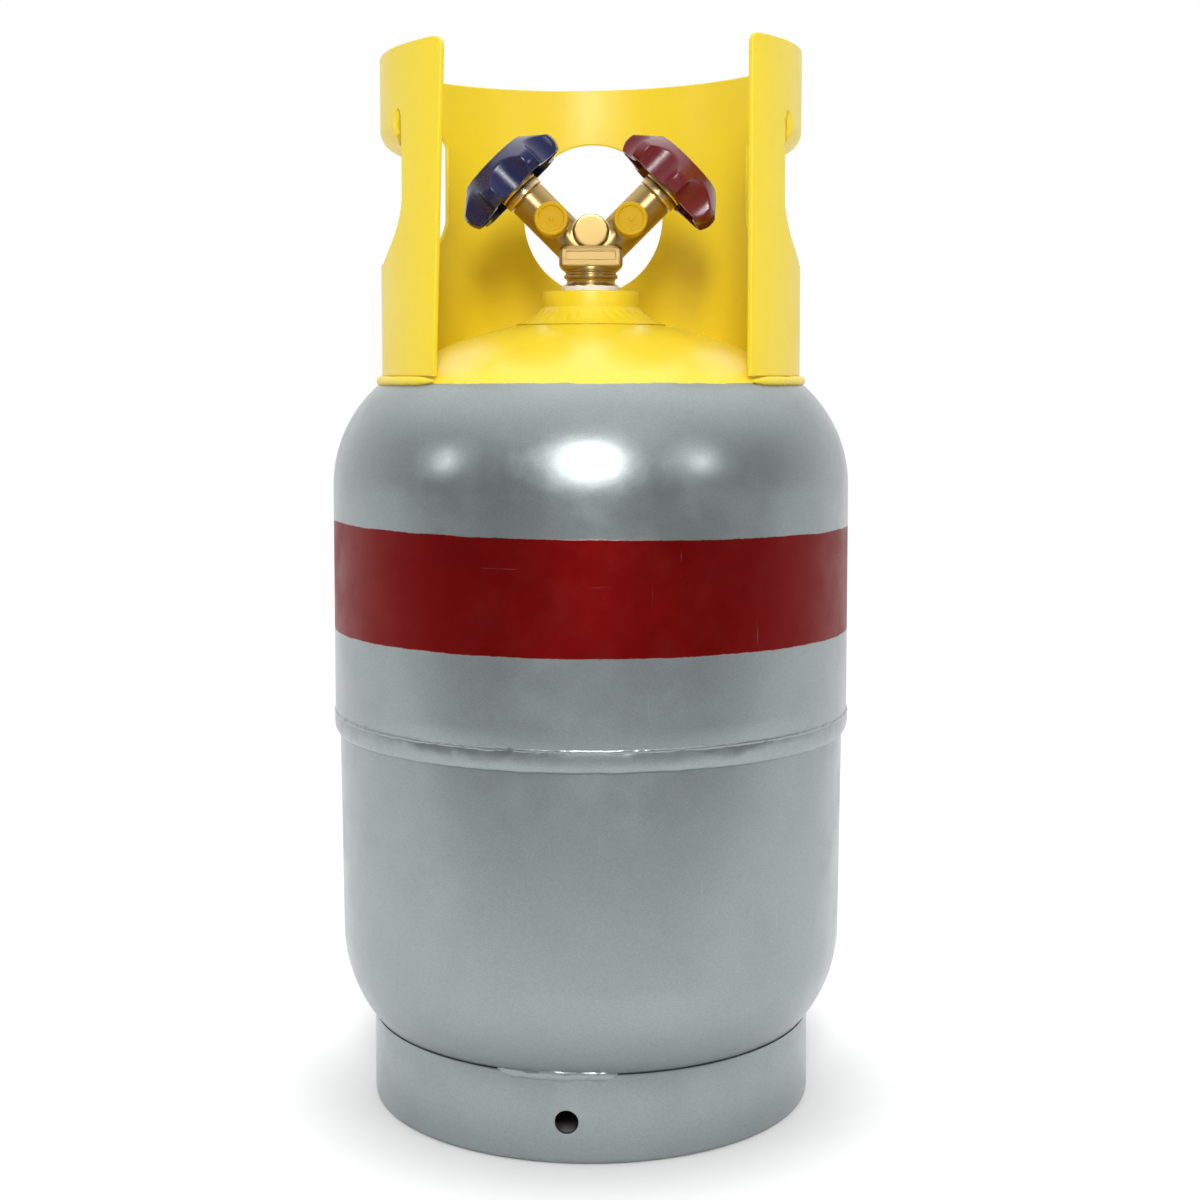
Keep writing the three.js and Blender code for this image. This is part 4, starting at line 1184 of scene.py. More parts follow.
@dataclass
class FootRing(SubAssembly):
    """Rolled foot ring with drain holes, and the three weld runs under the head."""

    vessel: Vessel = field(default_factory=Vessel)
    radius: float = 99.6
    sheet: float = 2.2
    lip: float = 91.5
    hole_radius: float = 5.0
    hole_z: float = 18.3
    hole_azimuths: tuple[float, ...] = (-5.9, 114.1, 234.1)
    weld_azimuths: tuple[tuple[str, float], ...] = (("front", -8.5), ("right", 111.5), ("left", 231.5))
    weld_half_angle: float = 15.0

    def build(self) -> None:
        """Build the ring and its welds."""
        inner = self.radius - self.sheet
        outline = [(self.lip, 0.0), *arc((self.radius - 3, 3), 3, -90, 0, 8),
                   (self.radius, self.vessel.under_z(self.radius) - 0.4),
                   (inner, self.vessel.under_z(inner) - 0.4),
                   *arc((self.radius - 3, 3), 3 - self.sheet, 0, -90, 5), (self.lip, self.sheet)]
        ring = turned(eased(outline, 0.5, steps=2), 240)
        for azimuth in self.hole_azimuths:
            a = math.radians(azimuth)
            out = Vector((math.sin(a), -math.cos(a), 0))
            height = Vector((0, 0, self.hole_z))
            ring = cut_by(ring, rod(out * (self.lip - 4) + height, out * (self.radius + 4) + height,
                                    self.hole_radius))
        self.settle(joined("foot", [ring], 40), [SILVER_ENAMEL], "foot_ring")
        for number, (place, azimuth) in enumerate(self.weld_azimuths):
            self._weld(place, azimuth, 5.0 + number)

    def _weld(self, place: str, azimuth: float, seed: float) -> None:
        """Lay one uneven weld run along the top of the ring."""
        middle = self.radius - 0.6
        path = circle_path(middle, self.vessel.under_z(middle) - 0.5, azimuth - self.weld_half_angle,
                           azimuth + self.weld_half_angle, 60)
        bead = BEADS.lay(path, tapered(len(path), 0.1), SILVER_ENAMEL.material(), Half_Width=1.15 * MM,
                         Half_Height=2.5 * MM, Step=0.45 * MM, Pitch=5.4 * MM, Ripple=0.10 * MM,
                         Lump=1.5 * MM, Lump_Size=110.0, Seed=seed, Sides=24)
        self.settle(joined(f"foot_bead_{place}", [bead], 60), [SILVER_ENAMEL], f"foot_weld_{place}")


@dataclass
class Guard(SubAssembly):
    """Rolled valve guard: one sheet with two hand holes, curled grips and a rear window.

    The sheet is drawn flat, with u running round it and z up, and is then rolled.
    """

    vessel: Vessel = field(default_factory=Vessel)
    radius: float = 94.4
    sheet: float = 2.4
    edge: float = 0.55
    bottom: float = 326.9
    top: float = 468.9
    top_slope: float = 0.018
    right_edge: float = 45.5
    left_edge: float = -44.6
    left_lean: float = 3.7
    right_corner: float = 5.0
    left_corner: float = 3.5
    holes: tuple[tuple[int, float, float], ...] = ((-1, -48.6, 62.5), (1, -44.0, 55.4))
    hole_bottom: float = 376.5
    flare_z: float = 402.0
    flare: float = 27.0
    bend_z: float = 436.0
    bend_radius: float = 9.0
    slit_top: float = 441.0
    slit_width: float = 3.4
    flap_inset: float = 8.5
    blank_step: float = 2.0
    curl_angle: float = 120.0
    window: tuple[float, float, float, float] = (1.2, 405.3, 35.0, 36.8)
    welds: tuple[tuple[str, float, float], ...] = (
        ("left", -100, -44), ("right", 46, 100), ("rear", 152, 208))

    @property
    def mid_radius(self) -> float:
        """Radius of the middle of the sheet."""
        return self.radius - self.sheet / 2

    def _u(self, side: int, y: float) -> float:
        """Flat coordinate of the point on one side of the guard with a given y."""
        azimuth = math.acos(-y / self.radius)
        return self.mid_radius * (azimuth if side > 0 else 2 * math.pi - azimuth)

    def _top_at(self, u: float) -> float:
        """Height of the top edge."""
        return self.top + self.top_slope * self.radius * math.sin(u / self.mid_radius)

    def _outline(self) -> list[Point]:
        """Outer edge of the flat sheet, anticlockwise."""
        start = math.radians(self.right_edge) * self.mid_radius
        end = math.radians(360 + self.left_edge) * self.mid_radius
        lean = math.radians(self.left_lean) * self.mid_radius
        count = 160
        last = end + lean
        crest = [(last + (start - last) * i / count, self._top_at(last + (start - last) * i / count))
                 for i in range(1, count)]
        left = eased([(end, self.bottom), (last, self._top_at(last)), crest[4]], self.left_corner * 1.6,
                     closed=False, steps=10)[1:-1]
        right = eased([crest[-5], (start, self._top_at(start)), (start, self.bottom)],
                      self.right_corner, closed=False, steps=10)[1:-1]
        foot = [(start, self.bottom), (end, self.bottom)]
        return densified(foot + left + crest[4:-4] + right, 3.0)

    def _hand_hole(self, side: int, front: float, rear: float) -> list[Point]:
        """Outline of a hand hole, whose top edge is the free edge of the flat grip flap."""
        curl = self.bend_radius - self.sheet / 2

        def bow(start: Point, waist: Point, end: Point) -> list[Point]:
            """Points of a quadratic curve."""
            points = []
            for i in range(15):
                t = i / 14
                points.append(tuple(start[k] * (1 - t) ** 2 + waist[k] * 2 * t * (1 - t) + end[k] * t**2
                                    for k in (0, 1)))
            return points

        left, right = front + self.flare, rear - self.flare
        low = self.hole_bottom
        outline = bow((front, self.flare_z), (front + 3, low + 8), (left, low))
        outline += bow((right, low), (rear - 3, low + 8), (rear, self.flare_z))
        slit = self.slit_top
        tip = math.radians(60) * curl
        outline += [(rear, slit - 4), (rear - 1.6, slit - 0.8), (rear - self.slit_width, slit),
                    (rear - 5.0, slit - 1.4), (rear - 6.5, self.bend_z)]
        inner_front, inner_rear = front + self.flap_inset, rear - self.flap_inset
        for i in range(41):
            t = i / 40
            y = inner_rear + (inner_front - inner_rear) * t
            reach = tip + math.radians(60) * curl * math.sin(math.pi * t)
            ease = 1 - 0.35 * math.exp(-min(i, 40 - i) / 1.6)
            outline.append((y, self.bend_z - reach * ease))
        outline += [(front + 6.5, self.bend_z), (front + 5.0, slit - 1.4), (front + self.slit_width, slit),
                    (front + 1.6, slit - 0.8), (front, slit - 4)]
        return densified([(self._u(side, y), z) for y, z in outline], 1.6)

    def _rear_window(self) -> list[Point]:
        """Outline of the oval rear window."""
        x, z, half_width, half_height = self.window
        points = []
        for i in range(120):
            a = 2 * math.pi * i / 120
            across = x + half_width * math.cos(a)
            points.append((self.mid_radius * (math.pi - math.asin(across / self.radius)),
                           z + half_height * math.sin(a)))
        return points

    def _rolled(self, u: float, z: float, w: float) -> Vector:
        """Place of a point of the flat sheet once it is rolled and its grips are curled."""
        azimuth = u / self.mid_radius
        radius = self.mid_radius + w
        centre = self.radius - self.bend_radius
        curl = self.bend_radius - self.sheet / 2
        y = -self.radius * math.cos(azimuth)
        side = 1 if math.sin(azimuth) > 0 else -1
        for hole_side, front, rear in self.holes:
            on_flap = front + self.slit_width < y < rear - self.slit_width
            if side == hole_side and on_flap and self.flare_z + 12 < z < self.bend_z:
                turn = (self.bend_z - z) / curl
                radius = centre + (curl + w) * math.cos(turn)
                z = self.bend_z - (curl + w) * math.sin(turn)
        return Vector((radius * math.sin(azimuth), -radius * math.cos(azimuth), z))

    def build(self) -> None:
        """Build the sheet and its welds."""
        loops = [anticlockwise(self._outline())]
        loops += [anticlockwise(self._hand_hole(*hole))[::-1] for hole in self.holes]
        loops.append(anticlockwise(self._rear_window())[::-1])
        half, edge = self.sheet / 2, self.edge
        rim = [(edge * (1 - math.sin(math.radians(t))), half - edge * (1 - math.cos(math.radians(t))))
               for t in (0, 30, 60, 90)]
        layers = rim + [(inset, -w) for inset, w in reversed(rim)]
        shape = bmesh.new()
        caps: list[list[list[bmesh.types.BMVert]]] = [[], []]
        for loop in loops:
            rings = [[shape.verts.new((u, z, w)) for u, z in inset_loop(loop, inset)] for inset, w in layers]
            for lower, upper in zip(rings, rings[1:]):
                for i in range(len(loop)):
                    k = (i + 1) % len(loop)
                    shape.faces.new((lower[i], lower[k], upper[k], upper[i]))
            caps[0].append(rings[0])
            caps[1].append(rings[-1])
        for rings in caps:
            corners = [vertex for ring in rings for vertex in ring]
            for triangle in geometry.tessellate_polygon([[v.co for v in ring] for ring in rings]):
                shape.faces.new([corners[i] for i in triangle])
        self._slice(shape)
        for vertex in shape.verts:
            vertex.co = self._rolled(*vertex.co) * MM
        bmesh.ops.recalc_face_normals(shape, faces=shape.faces)
        self.settle(new_object("guard_sheet", as_mesh("guard", shape), 40), [YELLOW_ENAMEL], "collar")
        for number, (place, start, end) in enumerate(self.welds):
            self._weld(place, start, end, 12.0 + number)

    def _slice(self, shape: bmesh.types.BMesh) -> None:
        """Cut the flat sheet finely enough to roll round and to curl at its grips."""
        step = math.radians(self.blank_step) * self.mid_radius
        first = math.radians(self.right_edge) * self.mid_radius
        last = math.radians(360 + self.left_edge + self.left_lean) * self.mid_radius
        cuts = [((first + step * i, 0, 0), (1, 0, 0)) for i in range(1, int((last - first) / step) + 1)]
        lowest = self.bend_z - math.radians(self.curl_angle) * (self.bend_radius - self.sheet / 2)
        rows = 20
        cuts += [((0, lowest + (self.bend_z - lowest) * i / rows, 0), (0, 1, 0)) for i in range(rows + 1)]
        for place, direction in cuts:
            parts = shape.verts[:] + shape.edges[:] + shape.faces[:]
            bmesh.ops.bisect_plane(shape, geom=parts, dist=1e-5, plane_co=place, plane_no=direction)

    def _weld(self, place: str, start: float, end: float, seed: float) -> None:
        """Lay one fillet weld between the guard and the head."""
        middle = self.radius + 0.5
        path = circle_path(middle, self.vessel.top_z(middle) + 0.7, start, end, 100)
        bead = BEADS.lay(path, tapered(len(path), 0.14), YELLOW_ENAMEL.material(), Half_Width=2.1 * MM,
                         Half_Height=2.1 * MM, Step=0.5 * MM, Pitch=4.2 * MM, Ripple=0.12 * MM,
                         Lump=0.9 * MM, Lump_Size=80.0, Seed=seed, Sides=20)
        self.settle(joined(f"guard_bead_{place}", [bead], 60), [YELLOW_ENAMEL], f"collar_weld_{place}")


def anticlockwise(loop: Sequence[Point]) -> list[Point]:
    """The loop, reversed if it runs clockwise."""
    area = sum(a[0] * b[1] - b[0] * a[1] for a, b in zip(loop, [*loop[1:], loop[0]]))
    return list(loop) if area > 0 else list(loop)[::-1]


def densified(loop: Sequence[Point], spacing: float) -> list[Point]:
    """The closed loop with extra points where its edges are longer than a spacing."""
    points: list[Point] = []
    for a, b in zip(loop, [*loop[1:], loop[0]]):
        pieces = max(1, math.ceil(math.dist(a, b) / spacing))
        points.extend((a[0] + (b[0] - a[0]) * i / pieces, a[1] + (b[1] - a[1]) * i / pieces)
                      for i in range(pieces))
    return points


def inset_loop(loop: Sequence[Point], distance: float) -> list[Point]:
    """The loop moved to its left by a distance."""
    moved = []
    for i, here in enumerate(loop):
        back, ahead = Vector(loop[i - 1]), Vector(loop[(i + 1) % len(loop)])
        along = (ahead - back).normalized()
        moved.append((here[0] - along.y * distance, here[1] + along.x * distance))
    return moved


@dataclass
class YValve(SubAssembly):
    """Forged Y valve body: arms, spanner block, ports, neck and the tape on its thread."""

    apex_z: float = 378.5
    tilt: float = 45.0
    arm_radius: float = 8.9
    arm_end: float = 41.0
    port_at: float = 24.7
    port_end: float = -25.5
    thread_radius: float = 5.5
    thread_depth: float = 0.55
    thread_pitch: float = 1.27
    stub_radius: float = 6.8
    block_width: float = 28.4
    block_depth: float = 25.0
    block_bottom: float = 375.0
    block_top: float = 385.3
    bevel: float = 1.6
    neck_radius: float = 12.3
    boss_top: float = 365.0
    relief_z: float = 392.0
    relief_radius: float = 7.7
    seat_at: float = 19.0
    chamber_radius: float = 5.4
    bonnet_at: float = 30.0
    bonnet_bore: float = 7.3
    port_bore: float = 2.4
    voxel: float = 0.42

    @property
    def thread_root(self) -> float:
        """Radius of the ports under their threads."""
        return self.thread_radius - self.thread_depth

    def on_arm(self, side: Side, along: float, y: float = 0.0) -> Vector:
        """Point on an arm's axis, at a distance from the apex."""
        reach = math.radians(self.tilt)
        return Vector((side.value * along * math.sin(reach), y, self.apex_z + along * math.cos(reach)))

    def arm_frame(self, side: Side) -> Matrix:
        """Placement of what is drawn along +Z from the apex onto an arm."""
        turn = Matrix.Rotation(math.radians(side.value * self.tilt), 4, "Y")
        return Matrix.Translation((0, 0, self.apex_z)) @ turn

    def _forging(self) -> bpy.types.Mesh:
        """The forged mass, blended where its bodies meet."""
        meshes = [rod((0, -9.7, self.relief_z), (0, 14.6, self.relief_z), self.relief_radius)]
        meshes.append(rod((0, 0, self.block_top - 4), (0, 0, self.relief_z + 1), 7.0))
        for side in Side:
            meshes.append(rod(self.on_arm(side, 1), self.on_arm(side, self.arm_end), self.arm_radius, 64))
            meshes.append(rod(self.on_arm(side, self.port_at), self.on_arm(side, self.port_at, -11.3),
                              self.stub_radius))
        whole = joined("forging", meshes)
        mesh = whole.data.copy()
        bpy.data.objects.remove(whole)
        helper = loose_object(mesh)
        remesh = helper.modifiers.new("skin", "REMESH")
        remesh.mode = "VOXEL"
        remesh.voxel_size = self.voxel * MM
        smooth = helper.modifiers.new("blend", "SMOOTH")
        smooth.factor = 0.5
        smooth.iterations = 9
        forged = baked(helper)
        for side in Side:
            forged = cut_by(forged, self._chamber(side))
            centre = self.on_arm(side, self.port_at)
            forged = cut_by(forged, rod(centre, centre + Vector((0, -12, 0)), self.port_bore))
        return forged

    def _chamber(self, side: Side) -> bpy.types.Mesh:
        """Cutter for the seat chamber, the bonnet's bore and the faced end of an arm."""
        face, far = self.arm_end - 0.4, self.arm_end + 4
        chamber, bore = self.chamber_radius, self.bonnet_bore
        outline = [(0, self.seat_at), (chamber, self.seat_at), (chamber, self.bonnet_at),
                   (bore, self.bonnet_at), (bore, face), (12, face), (12, far), (0, far)]
        return turned(outline, 72, self.arm_frame(side), ring=False)

    def _block(self) -> bpy.types.Mesh:
        """The spanner block, with bevelled edges and a shallow sunk panel on its front and back."""
        shape = bmesh.new()
        bmesh.ops.create_cube(shape, size=1.0)
        height = self.block_top - self.block_bottom
        bmesh.ops.scale(shape, verts=shape.verts, vec=(self.block_width, self.block_depth, height))
        bmesh.ops.bevel(shape, geom=shape.edges[:], offset=self.bevel, segments=1, affect="EDGES")
        bmesh.ops.bevel(shape, geom=shape.edges[:], offset=0.22, segments=2, affect="EDGES")
        bmesh.ops.translate(shape, verts=shape.verts, vec=(0, 0, self.block_bottom + height / 2))
        bmesh.ops.scale(shape, verts=shape.verts, vec=(MM, MM, MM))
        mesh = as_mesh("block", shape)
        for sign in (-1, 1):
            mesh = cut_by(mesh, self._panel(sign))
        return mesh

    def _panel(self, sign: int) -> bpy.types.Mesh:
        """Cutter for the sunk panel on one face of the block."""
        shape = bmesh.new()
        bmesh.ops.create_cube(shape, size=1.0)
        bmesh.ops.scale(shape, verts=shape.verts, vec=(23.0, 1.2, 4.6))
        bmesh.ops.bevel(shape, geom=shape.edges[:], offset=0.5, segments=3, affect="EDGES")
        middle = (0, sign * self.block_depth / 2, self.block_top - 4.4)
        bmesh.ops.translate(shape, verts=shape.verts, vec=middle)
        bmesh.ops.scale(shape, verts=shape.verts, vec=(MM, MM, MM))
        return as_mesh("panel", shape)

    def _neck(self) -> bpy.types.Mesh:
        """Shank with its tapered thread end, tape seat, waist and machined rings."""
        r = self.neck_radius
        z = self.boss_top
        outline = [(0, 345.2), (12.5, 345.2), (13.2, z - 1), (r, z), (r, z + 2.9), (r - 1.2, z + 3.6),
                   (r - 1.6, z + 4.6), (r - 1.2, z + 5.6), (r - 0.2, z + 6.2), (r - 0.2, z + 7.4),
                   (r - 0.9, z + 7.9), (r - 0.9, z + 8.7), (r - 0.1, z + 9.3),
                   (r - 0.1, self.block_bottom + 1.2), (0, self.block_bottom + 1.2)]
        return turned(eased(outline, 0.35, closed=False), 128, ring=False)

    def _port(self, side: Side) -> bpy.types.Mesh:
        """Machined flare port with its bore, cone and a short shoulder."""
        r, bore, flare = self.thread_root, self.port_bore, 2.9
        end = -self.port_end
        outline = [(bore, 6.2), (self.stub_radius - 0.5, 6.2), (self.stub_radius - 0.5, 11.2),
                   (r, 11.6), (r, end - 2.7), (flare, end), (bore + 0.1, end - 0.3), (bore, end - 1.0)]
        centre = self.on_arm(side, self.port_at)
        return turned(eased(outline, 0.25), 72, upright(centre.x, 0, centre.z, (0, -1, 0)))

    def _thread(self, side: Side) -> bpy.types.Mesh:
        """Helical thread on a flare port."""
        first, last = 12.4, -self.port_end - 3.3
        per_turn = 36
        steps = int((last - first) / self.thread_pitch * per_turn)
        centre = self.on_arm(side, self.port_at)
        radius = self.thread_root
        path, swell = [], []
        for i in range(steps + 1):
            a = 2 * math.pi * i / per_turn
            path.append(Vector((centre.x + radius * math.cos(a), -first - self.thread_pitch * i / per_turn,
                                centre.z + radius * math.sin(a))))
            swell.append(min(1.0, 0.15 + min(i, steps - i) / 20))
        return BEADS.lay_wire(path, 0.52, MACHINED_BRASS, swell, Step=0.55 * MM, Sides=6)

    def build(self) -> None:
        """Build the body and its tape."""
        layers = [(self._forging(), 0), (self._block(), 1), (self._neck(), 1)]
        for side in Side:
            layers += [(self._port(side), 1), (self._thread(side), 1)]
        self.settle(layered("valve_casting", layers, 35), [FORGED_BRASS, FACED_BRASS], "valve_body")
        z = self.boss_top

        def wrap(angle: float) -> list[Point]:
            """Section of the tape, whose top edge is torn unevenly."""
            spot = Vector((3 * math.sin(angle), 3 * math.cos(angle), 0.0))
            torn = z + 2.45 + 0.32 * noise.noise(spot * 2.6) + 0.15 * noise.noise(spot * 9.0)
            puff = 13.25 + 0.22 * noise.noise(spot * 1.7 + Vector((0, 0, 4)))
            return [(12.5, z + 0.3), (puff - 0.1, z + 0.3), (puff, z + 0.8), (puff - 0.12, z + 1.3),
                    (puff + 0.02, z + 1.7), (puff - 0.25, torn), (12.5, torn + 0.05)]

        self.settle(joined("tape_wrap", [turned_with(wrap, 300)], 50), [WHITE_TAPE], "thread_tape")


@dataclass
class ArmSet(SubAssembly):
    """What screws onto one arm: bonnet, handwheel, washer, screw and port cap."""

    side: Side = Side.VAPOR
    valve: YValve = field(default_factory=YValve)
    wheel_turn: float = -64.0
    wheel_body: Body = Body.VAPOR_WHEEL
    cap_body: Body = Body.VAPOR_CAP
    bonnet_bottom: float = 30.3
    bonnet_top: float = 51.5
    packing_at: float = 45.3
    rim_at: float = 45.5
    height: float = 17.0
    recess_at: float = 59.5
    lobes: int = 7
    scallop_radius: float = 12.2
    scallop_distance: float = 33.7
    face_radius: float = 17.6
    wheel_wall: float = 2.5

    def _bonnet(self) -> bpy.types.Mesh:
        """Screwed-in bonnet with a grooved flange."""
        end, top = self.valve.arm_end + GAP, self.bonnet_top
        outline = [(3.9, self.bonnet_bottom), (7.0, self.bonnet_bottom), (7.0, end), (9.3, end),
                   (9.6, end + 0.6), (9.6, end + 3.4), (9.2, end + 3.8), (9.2, end + 4.3), (9.6, end + 4.7),
                   (9.6, top - 1.1), (8.6, top), (5.8, top), (5.8, self.packing_at - GAP),
                   (3.9, self.packing_at - GAP)]
        return turned(eased(outline, 0.25), 112, self.valve.arm_frame(self.side))

    def _scalloped(self, radius: float, angle: float) -> float:
        """Radius of the wheel's wall at an angle, where a scallop may cut into it."""
        step = 2 * math.pi / self.lobes
        local = (angle - math.pi / 2) % step - step / 2
        across = self.scallop_distance * math.sin(local)
        if abs(across) >= self.scallop_radius:
            return radius
        cut = self.scallop_distance * math.cos(local) - math.sqrt(self.scallop_radius**2 - across**2)
        soft = 0.9
        blend = max(0.0, min(1.0, 0.5 + (cut - radius) / (2 * soft)))
        return cut + (radius - cut) * blend - soft * blend * (1 - blend)

    def _wheel_section(self, angle: float) -> list[Point]:
        """Outline of the handwheel's wall at an angle, as a ring from the hub and back to it."""
        top, face = self.height, self.face_radius
        outer = [(25.0, 0.0), (25.5, 0.25)]
        outer += [(25.5 + 1.8 * math.sin(math.pi / 2 * i / 5), 0.25 + 4.75 * i / 5) for i in range(1, 6)]
        outer += [(27.3, 6.2), (27.2, 7.4)]
        outer += [(26.9 + (face + 0.3 - 26.9) * i / 14, 8.5 + (top - 0.9 - 8.5) * i / 14) for i in range(15)]
        wall = [(self._scalloped(r, angle), z) for r, z in outer]
        crest = [(face - 0.15, top - 0.35), (face - 0.7, top)]
        recess = [(8.7, top), (8.1, top - 0.2), (8.0, top - 0.7)]
        floor = self.recess_at - self.rim_at
        hub_end = self.bonnet_top + 1.4 - self.rim_at
        bore = [(8.0, floor), (3.65, floor), (3.65, hub_end), (6.2, hub_end), (6.5, hub_end + 0.4),
                (6.5, 12.6), (7.0, 13.0)]
        cavity = [(14.0, 13.0), (15.2, 12.2)]
        for i in range(9):
            t = i / 8
            z = 11.0 * (1 - t) + 0.3 * t
            hull = 16.6 + 2.6 * math.sin(math.pi / 2 * t)
            r = self._scalloped(26.6, angle) - self.wheel_wall
            cavity.append((max(hull, min(r, 17.0 + 7.0 * t)), z))
        lip = cavity[-1][0]
        return [*wall, *crest, *recess, *bore, *cavity, (lip + 0.35, 0.0)]

    def _wheel(self) -> bpy.types.Mesh:
        """The handwheel's moulding with its hollow underneath."""
        place = self.valve.arm_frame(self.side) @ Matrix.Rotation(math.radians(self.wheel_turn), 4, "Z")
        place = place @ Matrix.Translation((0, 0, self.rim_at))
        return turned_with(self._wheel_section, 420, place)

    def _screw(self) -> bpy.types.Mesh:
        """Slotted cheese-head screw."""
        head = self.recess_at + 1.4
        outline = [(0, 54.6), (1.4, 54.6), (1.4, head), (3.6, head), (3.3, head + 1.2), (2.9, head + 1.5),
                   (0, head + 1.5)]
        frame_of_arm = self.valve.arm_frame(self.side)
        shank = turned(eased(outline, 0.15, closed=False), 72, frame_of_arm, ring=False)
        shape = bmesh.new()
        bmesh.ops.create_cube(shape, size=1.0)
        bmesh.ops.scale(shape, verts=shape.verts, vec=(9.0, 0.9, 1.2))
        turn = Matrix.Translation((0, 0, head + 1.5)) @ Matrix.Rotation(0.6 + self.side.value, 4, "Z")
        bmesh.ops.transform(shape, matrix=Matrix.Scale(MM, 4) @ frame_of_arm @ turn, verts=shape.verts)
        return cut_by(shank, as_mesh("slot", shape))

    def _washer(self) -> bpy.types.Mesh:
        """Flat washer under the screw head."""
        low, high = self.recess_at + GAP, self.recess_at + 1.1
        outline = [(1.9, low), (6.0, low), (6.0, high), (1.9, high)]
        return turned(eased(outline, 0.2), 96, self.valve.arm_frame(self.side))

    def _cap(self) -> bpy.types.Mesh:
        """Push-on cap with a raised rim and a small moulding mark in its face."""
        end = -self.valve.port_end + 2.0
        bore = self.valve.thread_radius + GAP
        outline = [(0, end - 0.25), (0.9, end - 0.25), (1.1, end - 0.55), (5.4, end - 0.55), (5.8, end - 0.1),
                   (6.9, end), (7.3, end - 0.35), (7.45, end - 0.9), (7.5, 12.4), (7.2, 12.0), (bore, 12.0),
                   (bore, end - 1.7), (0, end - 1.7)]
        centre = self.valve.on_arm(self.side, self.valve.port_at)
        place = upright(centre.x, 0, centre.z, (0, -1, 0))
        return turned(eased(outline, 0.2, closed=False), 128, place, ring=False)

    def build(self) -> None:
        """Build every piece of the arm."""
        fluid = self.side.fluid
        brass = ARM_BRASS[self.side]
        self.settle(joined(f"bonnet_nut_{fluid}", [self._bonnet()]), [brass], f"bonnet_{fluid}")
        self.settle(joined(f"wheel_{fluid}", [self._wheel()], 38), [WHEEL_PLASTIC[self.side]],
                    f"handwheel_{fluid}", body=self.wheel_body)
        self.settle(joined(f"washer_{fluid}", [self._washer()]), [BRIGHT_STEEL], f"wheel_washer_{fluid}",
                    body=self.wheel_body)
        self.settle(joined(f"screw_{fluid}", [self._screw()]), [BRIGHT_STEEL], f"wheel_screw_{fluid}",
                    body=self.wheel_body)
        self.settle(joined(f"cap_{fluid}", [self._cap()]), [CAP_PLASTIC], f"port_cap_{fluid}",
                    body=self.cap_body)


@dataclass
class ReliefValve(SubAssembly):
    """Relief valve at the back of the Y valve."""

    axis_z: float = 392.0
    boss_end: float = 15.3
    end: float = 34.0
    seat: float = 9.0
    across_corners: float = 8.8
    spring_start: float = 12.35
    spring_end: float = 30.95
    spring_turns: int = 7
    coil_radius: float = 2.95
    wire: float = 0.48
    lift: float = 1.5

    def build(self) -> None:
        """Build the valve's body with its hexagon, its drilled retainer and its spring."""
        place = upright(0, 0, self.axis_z, (0, 1, 0))
        outline = [(1.6, 5.6), (5.7, 5.6), (5.7, self.boss_end), (7.0, self.boss_end), (7.0, self.end - 4),
                   (6.6, self.end - 3.6), (6.6, self.end - 3), (7.0, self.end - 2.6), (7.0, self.end),
                   (4.6, self.end), (4.6, self.seat), (1.6, self.seat)]
        sleeve = turned(eased(outline, 0.3), 112, place)
        flat = self.across_corners * math.cos(math.pi / 6)

        def hexagon(angle: float) -> list[Point]:
            """Section of the hexagon at an angle, with chamfered corners."""
            local = (angle + math.pi / 6) % (math.pi / 3) - math.pi / 6
            r = flat / math.cos(local)
            low, high = self.boss_end, self.boss_end + 6.7
            cut = max(0.0, r - flat - 0.25)
            return [(6.8, low), (r - cut, low), (r, low + 0.7 * cut + 0.05), (r, high - 0.7 * cut - 0.05),
                    (r - cut, high), (6.8, high)]

        nut = turned_with(hexagon, 180, place)
        self.settle(joined("relief_sleeve", [sleeve, nut], 25), [BACK_BRASS], "relief_body")
        ring = [(1.8, 31.3), (4.3, 31.3), (4.3, self.end - 0.4), (1.8, self.end - 0.4)]
        self.settle(joined("relief_plug", [turned(eased(ring, 0.25), 72, place)]), [BACK_BRASS],
                    "relief_retainer")
        coil = self._coil()
        self.settle(coil, [BRIGHT_STEEL], "relief_spring")
        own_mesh(coil)

    def _coil(self) -> bpy.types.Object:
        """The relief spring's coil, whose end turns close up."""
        first, last = self.spring_start + self.wire, self.spring_end - self.wire
        steps = self.spring_turns * 40
        path = []
        for i in range(steps + 1):
            t, a = i / steps, 2 * math.pi * self.spring_turns * i / steps
            rise = t - 0.06 * math.sin(2 * math.pi * t)
            path.append(Vector((self.coil_radius * math.cos(a), first + (last - first) * rise,
                                self.axis_z + self.coil_radius * math.sin(a))))
        coil = BEADS.lay_wire(path, self.wire, BRIGHT_STEEL, [1.0] * len(path), Step=0.45 * MM, Sides=12)
        return joined("relief_coil", [coil])


@dataclass
class HiddenPieces:
    """CAD nodes that stay as they are inside the valve and the vessel, with finishes of their own."""

    finishes: tuple[tuple[str, Finish], ...] = (
        ("dip_tube", BRIGHT_STEEL),
        ("relief_poppet", BACK_BRASS),
        ("packing_vapor", WHITE_TAPE),
        ("packing_liquid", WHITE_TAPE),
        ("gland_ring_vapor", ARM_BRASS[Side.VAPOR]),
        ("gland_ring_liquid", ARM_BRASS[Side.LIQUID]),
        ("stem_vapor", BRIGHT_STEEL),
        ("stem_liquid", BRIGHT_STEEL),
        ("seat_disc_vapor", WHITE_TAPE),
        ("seat_disc_liquid", WHITE_TAPE),
    )

    def build(self) -> None:
        """Give each kept node its finish."""
        for name, finish in self.finishes:
            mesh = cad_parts[name].data
            mesh.materials.clear()
            mesh.materials.append(finish.material())
            LOG.info("%s: kept, finish %s", name, finish.name)


